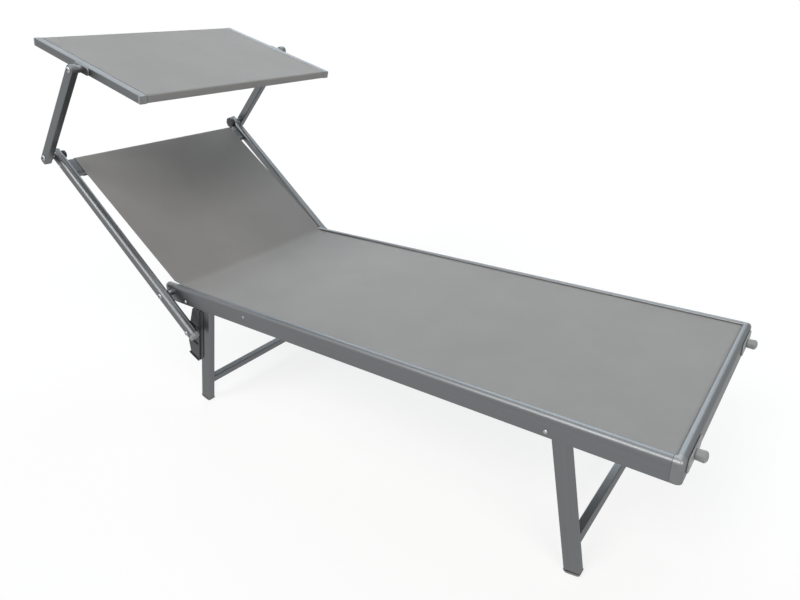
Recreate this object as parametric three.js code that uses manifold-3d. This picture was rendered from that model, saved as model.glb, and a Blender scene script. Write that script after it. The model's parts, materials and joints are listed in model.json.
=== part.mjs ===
// Sun lounger with a tilting canopy: aluminium frame, stretched mesh seat, reclining backrest on a
// notched rack, folding legs, and a sunshade on two swinging links.
// Millimetres, Z up, X along the lounger with the foot end at +X, right side at -Y.

import * as THREE from 'three';
import { mergeVertices } from 'three/addons/utils/BufferGeometryUtils.js';
import Module from 'manifold-3d';

const wasm = await Module();
wasm.setup();

// Fits
const gap = 0.3; // between pieces that touch
const runningGap = 0.5; // beside a piece that turns
const overrun = 5; // how far a cut reaches past what it cuts
const arcSteps = 2;
const domeSteps = 3;
const turnedSides = 12;
const cornerSteps = 4;

// Bed frame: one aluminium section goes down both sides and across the foot end
const frameWidth = 600;
const frameLength = 1366;
const railTopHeight = 354;
const sectionHeight = 47.2;
const sectionDepth = 18;
const sectionTopHeight = 12;
const sectionEdgeRadius = 8;
const sectionInnerRadius = 1.5;
const sectionWall = 1.6;
const webThickness = 3;
const webFillet = 2;
const cornerRadius = 10; // in plan, of the outer face
const cornerReach = 20; // of a corner piece along each side
const railCapThickness = 6;

// Groove that holds the beaded edge of the seat mesh
const clothThickness = 1.4;
const beadRadius = 2.3;
const grooveClearance = 0.5;
const grooveDepth = 6; // below the rail's top
const grooveLip = 1.4;
const seatHeadInset = 56; // of the seat mesh from the frame's head end

// Head crossbar under the seat mesh
const headBarDiameter = 22;
const headBarWall = 1.5;
const headBarInset = 48; // from the frame's head end
const headBarDrop = 31;

// Legs
const legWidth = 35.5;
const legThickness = 19.3;
const legWall = 1.8;
const legEdgeRadius = 4;
const legPivotDrop = 31; // below the rail's top
const legOuterInset = 5.5; // from the rail's outer face
const headLegInset = 155; // from the frame's head end
const headLegLean = 12.77 * Math.PI / 180;
const footLegX = -214;
const footLegLean = 9.41 * Math.PI / 180;
const legBarHeight = 66; // above the floor
const legBarSize = 20;
const legBarWall = 1.5;
const legBarEdge = 3;
const footCapWidth = 38.5;
const footCapThickness = 22.3;
const footCapHeight = 15;
const footCapBase = 5;
const footCapRadius = 12;
const footCapFlat = 0.8; // worn off the round where it stands

// Leg hinge plates
const plateThickness = 2;
const plateBossRadius = 12;
const plateEndRadius = 8;
const stopThickness = 3;
const stopReach = 9;
const stopTop = 6;
const stopBottom = 14;
const stopEarRadius = 9;
const legPinRadius = 3.7;
const legPinHeadRadius = 7;
const legPinHeadHeight = 3;
const rivetRadius = 3;
const rivetHeadRadius = 4.8;
const rivetHeadHeight = 2.6;
const headRivetReach = 76; // from the leg's pivot toward the head end
const headRivetDrop = 38.4;
const footRivetReach = 23.7;
const footRivetDrop = 35.5;

// Notched rack on the head side of each head leg; reaches are from the leg's face
const rackTopReach = 28;
const rackReach = 37; // at the upper lip of a notch
const rackWidth = 24;
const rackFirstNotch = 88.7;
const rackPitch = 52;
const rackNotches = 3;
const notchDepth = 8.9; // from the leg's face to the seated pin
const notchRadius = 4.7;
const notchTilt = 16 * Math.PI / 180;
const hookReach = 45;
const hookTipLength = 14; // of a hook's outer edge
const lastTipLength = 4;
const rackEndReach = 6; // of the rack's lowest corner
const rackEndDrop = 7.5; // of the same corner below the last notch
const rackEndSlope = 9; // from that corner up to the leg's face
const rackChamfer = 4;
const cheekReach = 12; // over the leg's outer face
const cheekThickness = 1.7;

// Backrest
const reclineInset = 19; // from the frame's head end
const reclineDrop = 23;
const reclineAngle = 40.83 * Math.PI / 180;
const armSize = 25;
const armWall = 1.6;
const armEdge = 4;
const armInset = 11; // from the rail's outer face to the arm's inner face
const armOverhang = 12; // past the links' lower bolts
const armDown = 140;
const armCapDepth = 12;
const armTopCapDepth = 3;
const armPlugDepth = 8;
const boltRadius = 4;
const boltHole = boltRadius + gap;
const boltHeadRadius = 8;
const boltHeadHeight = 3.6;
const washerRadius = 9;
const nutRadius = 7;
const nutHeight = 5;
const rackPinReach = 126;
const rackPinDrop = 6;
const rackPinHeadRadius = 6.5;
const rackPinHeadHeight = 3;
const topBarWidth = 55;
const topBarThickness = 20;
const topBarWall = 1.6;
const topBarEdge = 6;
const topBarInset = 47; // of its middle from the links' lower bolts
const topBarDrop = 9;
const backClothInset = 12.7; // from the rail's outer face
const backClothReach = 26; // of the mesh's lower edge from the hinge, along the arm
const backClothRise = 32; // of the same edge above the arm's centre line

// Canopy links and their clamp
const linkReach = 521; // from the backrest's hinge to the links' lower bolts
const linkLength = 340.4;
const linkAngle = 44.8 * Math.PI / 180; // above the level, toward the foot end
const linkWidth = 25;
const linkThickness = 20;
const linkWall = 1.6;
const linkEdge = 3;
const linkTail = 20;
const linkTailRadius = 8;
const linkInset = 8.6; // between an arm's outer face and its link
const knobRadius = 17.5;
const knobDepth = 11;
const knobFlutes = 8;
const knobFluteDepth = 1.4;
const knobDome = 3;
const lockNutRadius = 11;
const lockNutDepth = 8;
const lockNutEdge = 2;
const boltEndCover = 2;

// Canopy
const canopyAngle = 16.3 * Math.PI / 180; // foot end lower
const canopyOverhang = 28.6; // past the rail's outer face
const canopyHeadReach = 218;
const canopyFootReach = 230;
const canopyBar = 20;
const canopyBarWall = 1.5;
const canopyBarEdge = 2;
const canopyCrossEdge = 3;
const canopyCapDepth = 6;
const canopyPlugDepth = 12;
const canopyClothSlit = 1;
const lugLength = 64;
const lugThickness = 4;

// Foot end buffers
const bufferPlateLength = 100;
const bufferPlateHeight = 30;
const bufferPlateThickness = 3;
const bufferPlateInset = 67; // of its middle from the rail's outer face
const bufferDrop = 22.5;
const bufferPegRadius = 11;
const bufferPegLength = 20.5;
const bufferPegEdge = 4;
const bufferStemRadius = 4;
const bufferBarbRadius = 6;
const bufferBarbHeight = 3;

// Places worked out from the sizes above
const halfWidth = frameWidth / 2;
const seatHeadX = seatHeadInset - frameLength;
const headBarX = headBarInset - frameLength;
const headLegX = headLegInset - frameLength;
const headRivetX = headLegX - headRivetReach;
const footRivetX = footLegX - footRivetReach;
const reclineX = reclineInset - frameLength;
const bufferPlateY = halfWidth - bufferPlateInset;
const topBarReach = linkReach - topBarInset;
const armUp = linkReach + armOverhang;
const webInner = halfWidth - webThickness;
const legOuter = halfWidth - legOuterInset;
const legInner = legOuter - legThickness;
const legMiddle = (legOuter + legInner) / 2;
const armInner = halfWidth + armInset;
const armOuter = armInner + armSize;
const armMiddle = (armInner + armOuter) / 2;
const linkInner = armOuter + linkInset;
const linkOuter = linkInner + linkThickness;
const canopyOuter = halfWidth + canopyOverhang;
const canopyInner = canopyOuter - canopyBar;
const grooveRadius = beadRadius + grooveClearance;
const mouthHalf = clothThickness / 2 + grooveClearance;
const mouthAngle = Math.asin(mouthHalf / grooveRadius);
const grooveInset = sectionDepth - grooveLip - grooveRadius * Math.cos(mouthAngle);
const grooveZ = -grooveDepth;

const sides = [ { name: 'right', sign: -1 }, { name: 'left', sign: 1 } ];

// Materials

function finish( color, roughness, metalness ) {

	return new THREE.MeshStandardMaterial( { color, roughness, metalness } );

}

const aluminium = finish( 0x808285, 0.42, 0.75 );
const castAluminium = finish( 0x8c8f91, 0.5, 0.6 );
const mesh = finish( 0x8f9092, 0.85, 0 );
const greyPlastic = finish( 0x858787, 0.6, 0 );
const darkPlastic = finish( 0x333638, 0.55, 0 );
const steel = finish( 0xa8abad, 0.3, 0.9 );

// Closed meshes, booleans and placing

function signedVolume( geometry ) {

	const position = geometry.attributes.position;
	const index = geometry.index;
	const a = new THREE.Vector3();
	const b = new THREE.Vector3();
	const c = new THREE.Vector3();
	let volume = 0;

	for ( let i = 0; i < index.count; i += 3 ) {

		a.fromBufferAttribute( position, index.getX( i ) );
		b.fromBufferAttribute( position, index.getX( i + 1 ) );
		c.fromBufferAttribute( position, index.getX( i + 2 ) );
		volume += a.dot( b.cross( c ) ) / 6;

	}

	return volume;

}

// Shares the vertices, drops triangles without area and turns the faces outward
function closed( geometry ) {

	const bare = geometry.clone();
	bare.deleteAttribute( 'normal' );
	bare.deleteAttribute( 'uv' );
	const merged = mergeVertices( bare );
	const kept = [];
	const index = merged.index.array;

	for ( let i = 0; i < index.length; i += 3 ) {

		const [ a, b, c ] = [ index[ i ], index[ i + 1 ], index[ i + 2 ] ];
		if ( a !== b && b !== c && c !== a ) kept.push( a, b, c );

	}

	merged.setIndex( kept );

	if ( signedVolume( merged ) < 0 ) {

		merged.setIndex( kept.map( ( v, i ) => kept[ i - i % 3 + ( 3 - i % 3 ) % 3 ] ) );

	}

	return merged;

}

function toSolid( geometry ) {

	const shared = closed( geometry );
	const vertProperties = new Float32Array( shared.attributes.position.array );
	const triVerts = new Uint32Array( shared.index.array );
	return new wasm.Manifold( new wasm.Mesh( { numProp: 3, vertProperties, triVerts } ) );

}

function toGeometry( solid ) {

	const data = solid.getMesh();
	const geometry = new THREE.BufferGeometry();
	geometry.setAttribute( 'position', new THREE.BufferAttribute( data.vertProperties, 3 ) );
	geometry.setIndex( new THREE.BufferAttribute( data.triVerts, 1 ) );
	return geometry;

}

function join( first, ...others ) {

	return toGeometry( others.reduce( ( whole, part ) => whole.add( toSolid( part ) ), toSolid( first ) ) );

}

function cut( body, ...tools ) {

	return toGeometry( tools.reduce( ( whole, tool ) => whole.subtract( toSolid( tool ) ), toSolid( body ) ) );

}

function common( first, second ) {

	return toGeometry( toSolid( first ).intersect( toSolid( second ) ) );

}

// Adds one named piece; a piece drawn for the left side is mirrored for the right
function add( group, name, geometry, material, sign = 1 ) {

	const shape = geometry.clone();
	shape.scale( 1, sign, 1 );
	const piece = closed( shape ).toNonIndexed();
	piece.computeVertexNormals();
	const named = new THREE.Mesh( piece, material.clone() );
	named.name = name;
	group.add( named );
	return named;

}

function hinge( parent, x, z, turn, y = 0 ) {

	const group = new THREE.Group();
	group.position.set( x, y, z );
	group.rotation.y = turn;
	parent.add( group );
	return group;

}

// Outlines and the bars made from them

// Draws an arc in pieces of a quarter turn at most; it runs clockwise where it ends at less
function arc( path, x, y, radius, from, to ) {

	const pieces = Math.ceil( Math.abs( to - from ) / ( Math.PI / 2 ) - Number.EPSILON );

	for ( let i = 0; i < pieces; i ++ ) {

		const start = from + ( to - from ) * i / pieces;
		const end = from + ( to - from ) * ( i + 1 ) / pieces;
		path.absarc( x, y, radius, start, end, to < from );

	}

}

function roundedRect( width, height, radius, kind = THREE.Shape ) {

	const path = new kind();
	const x = width / 2 - radius;
	const y = height / 2 - radius;
	arc( path, x, y, radius, 0, Math.PI / 2 );
	arc( path, - x, y, radius, Math.PI / 2, Math.PI );
	arc( path, - x, - y, radius, Math.PI, 1.5 * Math.PI );
	arc( path, x, - y, radius, 1.5 * Math.PI, 2 * Math.PI );
	path.closePath();
	return path;

}

function tubeSection( width, height, radius, wall ) {

	const section = roundedRect( width, height, radius );
	section.holes.push( roundedRect( width - 2 * wall, height - 2 * wall, radius - wall, THREE.Path ) );
	return section;

}

function disc( x, y, radius, kind = THREE.Shape ) {

	const path = new kind();
	arc( path, x, y, radius, 0, 2 * Math.PI );
	return path;

}

function extrude( section, length ) {

	return new THREE.ExtrudeGeometry( section, { depth: length, bevelEnabled: false, curveSegments: arcSteps } );

}

const axisX = new THREE.Vector3( 1, 0, 0 );
const axisY = new THREE.Vector3( 0, 1, 0 );
const axisZ = new THREE.Vector3( 0, 0, 1 );

// Section drawn in Y and Z, carried along X
function alongX( section, from, to ) {

	const turn = new THREE.Matrix4().makeBasis( axisY, axisZ, axisX );
	return extrude( section, to - from ).applyMatrix4( turn ).translate( from, 0, 0 );

}

// Section drawn in X and Z, carried along Y
function alongY( section, from, to ) {

	const turn = new THREE.Matrix4().makeBasis( axisX, axisZ, axisY.clone().negate() );
	return extrude( section, to - from ).applyMatrix4( turn ).translate( 0, to, 0 );

}

// Section drawn in X and Y, carried along Z
function alongZ( section, from, to ) {

	return extrude( section, to - from ).translate( 0, 0, from );

}

// Solid of revolution about the Y direction; the profile is radius, then place along Y
function turned( profile ) {

	const points = profile.map( ( [ radius, y ] ) => new THREE.Vector2( radius, y ) );
	return new THREE.LatheGeometry( points, turnedSides );

}

// Profile points of a domed face of the given radius and height, from its rim to the axis
function dome( radius, height, rimY, direction ) {

	const points = [];

	for ( let i = 0; i <= domeSteps; i ++ ) {

		const angle = i / domeSteps * Math.PI / 2;
		points.push( [ radius * Math.cos( angle ), rimY + direction * height * Math.sin( angle ) ] );

	}

	points[ domeSteps ][ 0 ] = 0;
	return points;

}

function pin( x, z, radius, from, to ) {

	return turned( [ [ 0, from ], [ radius, from ], [ radius, to ], [ 0, to ] ] ).translate( x, 0, z );

}

// Carries a section, drawn as distance from the outer face and height, round stations in plan.
// A station gives the place in plan of a point from its distance in from the outer face.
function planSweep( section, stations ) {

	const ring = section.length;
	const positions = [];
	const indices = [];

	for ( const station of stations ) {

		for ( const point of section ) positions.push( ...station( - point.x ), point.y );

	}

	for ( let s = 0; s < stations.length - 1; s ++ ) {

		for ( let i = 0; i < ring; i ++ ) {

			const a = s * ring + i;
			const b = s * ring + ( i + 1 ) % ring;
			indices.push( a, b, a + ring, b, b + ring, a + ring );

		}

	}

	const last = ( stations.length - 1 ) * ring;

	for ( const [ a, b, c ] of THREE.ShapeUtils.triangulateShape( section, [] ) ) {

		indices.push( a, c, b, last + a, last + b, last + c );

	}

	const geometry = new THREE.BufferGeometry();
	geometry.setAttribute( 'position', new THREE.Float32BufferAttribute( positions, 3 ) );
	geometry.setIndex( indices );
	return geometry;

}

// Stations round the left foot corner: rounded near the outer faces, mitred farther in
function cornerStations() {

	const stations = [ ( inset ) => [ - cornerReach, halfWidth - inset ] ];

	for ( let i = 0; i <= cornerSteps; i ++ ) {

		const angle = i / cornerSteps * Math.PI / 2;

		stations.push( ( inset ) => {

			const middle = Math.max( cornerRadius, inset );
			const radius = middle - inset;
			return [ radius * Math.sin( angle ) - middle, halfWidth - middle + radius * Math.cos( angle ) ];

		} );

	}

	stations.push( ( inset ) => [ - inset, halfWidth - cornerReach ] );
	return stations;

}

// The frame section: a web with a box along its top, grooved on the inner side.
// The outer face is at zero and the section reaches inward to minus sectionDepth.
function frameSection( chambered, grooved ) {

	const shape = new THREE.Shape();
	const radius = sectionEdgeRadius;
	const edge = sectionInnerRadius;
	shape.moveTo( 0, - sectionHeight );
	shape.lineTo( 0, - radius );
	arc( shape, - radius, - radius, radius, 0, Math.PI / 2 );
	arc( shape, edge - sectionDepth, - edge, edge, Math.PI / 2, Math.PI );

	if ( grooved ) {

		shape.lineTo( - sectionDepth, grooveZ + mouthHalf );
		arc( shape, - grooveInset, grooveZ, grooveRadius, Math.PI - mouthAngle, mouthAngle - Math.PI );
		shape.lineTo( - sectionDepth, grooveZ - mouthHalf );

	}

	shape.lineTo( - sectionDepth, - sectionTopHeight );
	shape.lineTo( - webThickness - webFillet, - sectionTopHeight );
	arc( shape, - webThickness - webFillet, - sectionTopHeight - webFillet, webFillet, Math.PI / 2, 0 );
	shape.lineTo( - webThickness, - sectionHeight );
	shape.closePath();

	if ( chambered ) shape.holes.push( chamber( 0 ) );

	return shape;

}

// The closed chamber in the section's top box, drawn in by a clearance for what plugs it
function chamber( clearance ) {

	const wall = sectionWall + clearance;
	const back = - grooveInset + grooveRadius + wall;
	const radius = sectionEdgeRadius;
	const path = new THREE.Shape();
	path.moveTo( back, - wall );
	path.lineTo( - radius, - wall );
	arc( path, - radius, - radius, radius - wall, Math.PI / 2, 0 );
	path.lineTo( - wall, wall - sectionTopHeight );
	path.lineTo( back, wall - sectionTopHeight );
	path.closePath();
	return path;

}

function sectionPoints( shape, steps ) {

	const points = shape.getPoints( steps );
	return points.filter( ( p, i ) => p.distanceTo( points[ ( i + 1 ) % points.length ] ) > Number.EPSILON * frameWidth );

}

// Two round ends joined by their common tangents
function leverOutline( ax, ay, ar, bx, by, br ) {

	const axis = Math.atan2( by - ay, bx - ax );
	const spread = Math.acos( ( ar - br ) / Math.hypot( bx - ax, by - ay ) );
	const shape = new THREE.Shape();
	arc( shape, ax, ay, ar, axis + spread, axis - spread + 2 * Math.PI );
	arc( shape, bx, by, br, axis - spread, axis + spread );
	shape.closePath();
	return shape;

}

const lounger = new THREE.Group();
const bed = new THREE.Group();
lounger.add( bed );

// Side rails, foot crossbar and corners

const railHeadX = - frameLength + railCapThickness;
const railFootX = - cornerReach - gap;
const bufferHole = bufferStemRadius + gap;

for ( const { name, sign } of sides ) {

	const rail = cut(
		alongX( frameSection( true, true ), railHeadX + gap, railFootX ).translate( 0, halfWidth, 0 ),
		pin( reclineX, - reclineDrop, boltHole, webInner - overrun, halfWidth + overrun ),
		pin( headRivetX, - headRivetDrop, rivetRadius + gap, webInner - overrun, halfWidth + overrun ),
		pin( footRivetX, - footRivetDrop, rivetRadius + gap, webInner - overrun, halfWidth + overrun )
	);
	add( bed, `side_rail_${ name }`, rail, aluminium, sign );

	const cap = join(
		alongX( frameSection( false, false ), - frameLength, railHeadX ),
		alongX( chamber( gap ), railHeadX - gap, railHeadX + railCapThickness )
	).translate( 0, halfWidth, 0 );
	add( bed, `rail_end_cap_${ name }`, cap, greyPlastic, sign );

	const corner = planSweep( sectionPoints( frameSection( false, true ), arcSteps ), cornerStations() );
	add( bed, `frame_corner_${ name }`, corner, castAluminium, sign );

}

const crossbarEnd = halfWidth - cornerReach - gap;
const bufferHoles = sides.map( ( { sign } ) =>
	new THREE.CylinderGeometry( bufferHole, bufferHole, 2 * sectionDepth, turnedSides )
		.rotateZ( Math.PI / 2 )
		.translate( 0, sign * bufferPlateY, - bufferDrop ) );
const crossbar = cut( alongY( frameSection( true, true ), - crossbarEnd, crossbarEnd ), ...bufferHoles );
add( bed, 'foot_crossbar', crossbar, aluminium );

const headBarShape = disc( headBarX, - headBarDrop, headBarDiameter / 2 );
headBarShape.holes.push( disc( headBarX, - headBarDrop, headBarDiameter / 2 - headBarWall, THREE.Path ) );
add( bed, 'head_crossbar', alongY( headBarShape, gap - webInner, webInner - gap ), aluminium );

// Seat mesh, with a beaded edge in the groove on three sides

function seatMesh() {

	const stations = [
		( inset ) => [ seatHeadX, halfWidth - inset ],
		( inset ) => [ - inset, halfWidth - inset ],
		( inset ) => [ - inset, inset - halfWidth ],
		( inset ) => [ seatHeadX, inset - halfWidth ]
	];
	const bead = sectionPoints( disc( - grooveInset, grooveZ, beadRadius ), 1 );
	const plan = new THREE.Shape( stations.map( ( station ) => new THREE.Vector2( ...station( grooveInset ) ) ) );
	const sheet = alongZ( plan, grooveZ - clothThickness / 2, grooveZ + clothThickness / 2 );
	return join( sheet, planSweep( bead, stations ) );

}

add( bed, 'seat_fabric', seatMesh(), mesh );

// Foot end buffers

for ( const { name, sign } of sides ) {

	const plateShape = roundedRect( bufferPlateLength, bufferPlateHeight, bufferPlateHeight / 2 );
	const plate = alongX( plateShape, gap, gap + bufferPlateThickness ).translate( 0, bufferPlateY, - bufferDrop );
	const hole = new THREE.CylinderGeometry( bufferHole, bufferHole, 2 * sectionDepth, turnedSides )
		.rotateZ( Math.PI / 2 )
		.translate( 0, bufferPlateY, - bufferDrop );
	add( bed, `buffer_plate_${ name }`, cut( plate, hole ), greyPlastic, sign );

	const seat = bufferPlateThickness + 2 * gap;
	const tip = seat + bufferPegLength;
	const barb = - webThickness - gap;
	const peg = turned( [
		[ 0, barb - bufferBarbHeight ],
		[ bufferStemRadius, barb - bufferBarbHeight ],
		[ bufferBarbRadius, barb ],
		[ bufferStemRadius, barb ],
		[ bufferStemRadius, seat ],
		[ bufferPegRadius, seat ],
		...dome( bufferPegEdge, bufferPegEdge, tip - bufferPegEdge, 1 )
			.map( ( [ r, y ] ) => [ r + bufferPegRadius - bufferPegEdge, y ] ),
		[ 0, tip ]
	] ).rotateZ( - Math.PI / 2 ).translate( 0, bufferPlateY, - bufferDrop );
	add( bed, `buffer_peg_${ name }`, peg, greyPlastic, sign );

}

// Leg hinge plates: a plate inside the web, riveted through it, with the leg's pivot pin and stop

function hingePlate( pivotX, rivetX, rivetDrop, lean, stopSide ) {

	const outer = webInner - gap;
	const inner = outer - plateThickness;
	const stopInner = legWidth / 2 + gap;
	const stopMiddleX = stopSide * ( stopInner + stopThickness / 2 );
	const stopMiddleZ = - ( stopTop + stopBottom ) / 2;
	const ear = new THREE.Vector3( stopMiddleX, 0, stopMiddleZ ).applyAxisAngle( axisY, lean );
	const lever = leverOutline( 0, 0, plateBossRadius, rivetX - pivotX, legPivotDrop - rivetDrop, plateEndRadius );
	const earShape = leverOutline( 0, 0, plateBossRadius, ear.x, ear.z, stopEarRadius );
	const stop = new THREE.BoxGeometry( stopThickness, plateThickness + stopReach, stopBottom - stopTop )
		.translate( stopMiddleX, outer - ( plateThickness + stopReach ) / 2, stopMiddleZ )
		.rotateY( lean );
	const head = legInner - gap;
	const pivot = turned( [
		[ 0, head - legPinHeadHeight ],
		[ legPinHeadRadius, head - legPinHeadHeight ],
		[ legPinHeadRadius, head ],
		[ legPinRadius, head ],
		[ legPinRadius, outer ],
		[ 0, outer ]
	] );
	const rivet = turned( [
		[ 0, inner ],
		[ rivetRadius, inner ],
		[ rivetRadius, halfWidth + gap ],
		...dome( rivetHeadRadius, rivetHeadHeight, halfWidth + gap, 1 )
	] ).translate( rivetX - pivotX, 0, legPivotDrop - rivetDrop );
	return join( alongY( lever, inner, outer ), alongY( earShape, inner, outer ), stop, pivot, rivet )
		.translate( pivotX, 0, - legPivotDrop );

}

for ( const { name, sign } of sides ) {

	const headPlate = hingePlate( headLegX, headRivetX, headRivetDrop, headLegLean, - 1 );
	const footPlate = hingePlate( footLegX, footRivetX, footRivetDrop, - footLegLean, 1 );
	add( bed, `head_leg_hinge_${ name }`, headPlate, steel, sign );
	add( bed, `foot_leg_hinge_${ name }`, footPlate, steel, sign );

}

// Recline bolts: head outside the arm, spacer between arm and rail, nut inside the web

for ( const { name, sign } of sides ) {

	const nut = webInner - gap;
	const bolt = turned( [
		[ 0, nut - nutHeight ],
		[ nutRadius, nut - nutHeight ],
		[ nutRadius, nut ],
		[ boltRadius, nut ],
		[ boltRadius, halfWidth + gap ],
		[ washerRadius, halfWidth + gap ],
		[ washerRadius, armInner - runningGap ],
		[ boltRadius, armInner - runningGap ],
		[ boltRadius, armOuter + gap ],
		...dome( boltHeadRadius, boltHeadHeight, armOuter + gap, 1 )
	] ).translate( reclineX, 0, - reclineDrop );
	add( bed, `recline_bolt_${ name }`, bolt, steel, sign );

}

// Legs

const pivotHeight = railTopHeight - legPivotDrop;

function legSide( lean ) {

	const lean2 = Math.abs( lean );
	const half = footCapWidth / 2;
	const round = footCapRadius;
	const reach = pivotHeight + footCapFlat - round - ( half - round ) * Math.sin( lean2 );
	const capEnd = reach / Math.cos( lean2 ) + round;
	return { capEnd, tubeEnd: capEnd - footCapBase };

}

function legTube( tubeEnd ) {

	const half = legWidth / 2;
	const side = new THREE.Shape();
	side.moveTo( half, - tubeEnd );
	side.lineTo( half, 0 );
	arc( side, 0, 0, half, 0, Math.PI );
	side.lineTo( - half, - tubeEnd );
	side.closePath();
	const section = tubeSection( legWidth, legThickness, legEdgeRadius, legWall );
	const tube = alongZ( section, - tubeEnd, half + overrun ).translate( 0, legMiddle, 0 );
	const trimmed = common( tube, alongY( side, legInner - overrun, legOuter + overrun ) );
	return cut( trimmed, pin( 0, 0, legPinRadius + gap, legInner - overrun, legOuter + overrun ) );

}

function footCap( capEnd, tubeEnd, lean ) {

	const half = footCapWidth / 2;
	const round = footCapRadius;
	const side = new THREE.Shape();
	side.moveTo( - half, footCapHeight - capEnd );
	side.lineTo( - half, round - capEnd );
	arc( side, round - half, round - capEnd, round, Math.PI, 1.5 * Math.PI );
	arc( side, half - round, round - capEnd, round, 1.5 * Math.PI, 2 * Math.PI );
	side.lineTo( half, footCapHeight - capEnd );
	side.closePath();
	const middle = legMiddle;
	const body = alongY( side, middle - footCapThickness / 2, middle + footCapThickness / 2 );
	const pocketShape = roundedRect( legWidth + 2 * gap, legThickness + 2 * gap, legEdgeRadius + gap );
	const pocket = alongZ( pocketShape, - tubeEnd - gap, - tubeEnd + footCapHeight ).translate( 0, middle, 0 );
	const block = 2 * footCapWidth;
	const floor = new THREE.BoxGeometry( block, block, block )
		.translate( - pivotHeight * Math.tan( lean ), middle, - pivotHeight - block / 2 )
		.rotateY( - lean );
	return cut( body, pocket, floor );

}

function legBar( lean ) {

	const along = ( pivotHeight - legBarHeight ) / Math.cos( lean );
	const section = tubeSection( legBarSize, legBarSize, legBarEdge, legBarWall );
	return alongY( section, gap - legInner, legInner - gap ).translate( 0, 0, - along );

}

function legPair( prefix, pivotX, lean ) {

	const group = hinge( lounger, pivotX, - legPivotDrop, lean );
	const { capEnd, tubeEnd } = legSide( lean );
	const tube = legTube( tubeEnd );
	const cap = footCap( capEnd, tubeEnd, lean );

	for ( const { name, sign } of sides ) {

		add( group, `${ prefix }_leg_${ name }`, tube, aluminium, sign );
		add( group, `${ prefix }_leg_foot_${ name }`, cap, greyPlastic, sign );

	}

	add( group, `${ prefix }_leg_crossbar`, legBar( lean ), aluminium );
	return group;

}

const headLegs = legPair( 'head', headLegX, headLegLean );
legPair( 'foot', footLegX, - footLegLean );

// Rack: hooked notches that take the pins on the arms, and a cheek over the leg's outer face

const rackFace = - legWidth / 2 - gap;

// Clears the rail above when the leg folds
function rackTop( reach ) {

	const below = sectionHeight - legPivotDrop + 2 * runningGap;
	return ( below + ( reach - rackFace ) * Math.sin( headLegLean ) ) / Math.cos( headLegLean );

}

const rackEnd = rackFirstNotch + ( rackNotches - 1 ) * rackPitch + rackEndDrop;

function rackOutline() {

	const half = notchRadius;
	const top = rackTop( rackTopReach );
	const sin = Math.sin( notchTilt );
	const cos = Math.cos( notchTilt );
	const upper = ( rackReach - notchDepth + half * sin ) / cos;
	const lower = ( hookReach - notchDepth - half * sin ) / cos;
	const start = Math.PI / 2 - notchTilt;
	const shape = new THREE.Shape();
	const go = ( reach, along ) => shape.lineTo( rackFace - reach, - along );
	shape.moveTo( rackFace, - top );
	go( rackTopReach - rackChamfer, top );
	go( rackTopReach, top + rackChamfer );

	for ( let i = 0; i < rackNotches; i ++ ) {

		const along = rackFirstNotch + i * rackPitch;
		const tip = along + half * cos - lower * sin;
		go( rackReach, along - half * cos - upper * sin );
		arc( shape, rackFace - notchDepth, - along, half, start, start - Math.PI );
		go( hookReach, tip );
		if ( i < rackNotches - 1 ) go( hookReach, tip + hookTipLength );
		else go( hookReach - lastTipLength, tip + lastTipLength );

	}

	go( rackEndReach, rackEnd );
	go( 0, rackEnd - rackEndSlope );
	shape.closePath();
	return shape;

}

function cheekOutline() {

	const top = rackTop( rackTopReach );
	const end = rackEnd - rackEndSlope;
	const shape = new THREE.Shape();
	shape.moveTo( rackFace - gap, - top );
	shape.lineTo( rackFace - gap, - end );
	shape.lineTo( rackFace, - end );
	shape.lineTo( rackFace + cheekReach, cheekReach - end );
	shape.lineTo( rackFace + cheekReach, - top );
	shape.closePath();
	return shape;

}

for ( const { name, sign } of sides ) {

	const cheek = legOuter + gap;
	const rack = join(
		alongY( rackOutline(), halfWidth - rackWidth, halfWidth ),
		alongY( cheekOutline(), cheek, cheek + cheekThickness )
	);
	add( headLegs, `rack_${ name }`, rack, darkPlastic, sign );

}

// Backrest, drawn lying flat toward the head end and turned up about the recline bolts

const backrest = hinge( lounger, reclineX, - reclineDrop, reclineAngle );

function capOutline( from, to, size, radius ) {

	const half = size / 2;
	const shape = new THREE.Shape();
	const direction = Math.sign( to - from );
	const middle = to - direction * radius;
	const sideAngle = direction > 0 ? 0 : Math.PI;
	shape.moveTo( from, half );
	shape.lineTo( middle, half );
	arc( shape, middle, half - radius, radius, Math.PI / 2, sideAngle );
	arc( shape, middle, radius - half, radius, sideAngle, 2 * sideAngle - Math.PI / 2 );
	shape.lineTo( from, - half );
	shape.closePath();
	return shape;

}

function armCap( from, to, radius ) {

	const direction = Math.sign( to - from );
	const half = armSize / 2;
	const body = common(
		alongY( capOutline( from, to, armSize, radius ), - half, half ),
		alongZ( capOutline( from, to, armSize, radius ), - half, half )
	);
	const plugSize = armSize - 2 * armWall - 2 * gap;
	const ends = [ from - direction * armPlugDepth, from + direction * gap ].sort( ( a, b ) => a - b );
	const plug = alongX( roundedRect( plugSize, plugSize, armEdge - armWall ), ends[ 0 ], ends[ 1 ] );
	return join( body, plug ).translate( 0, armMiddle, 0 );

}

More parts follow.
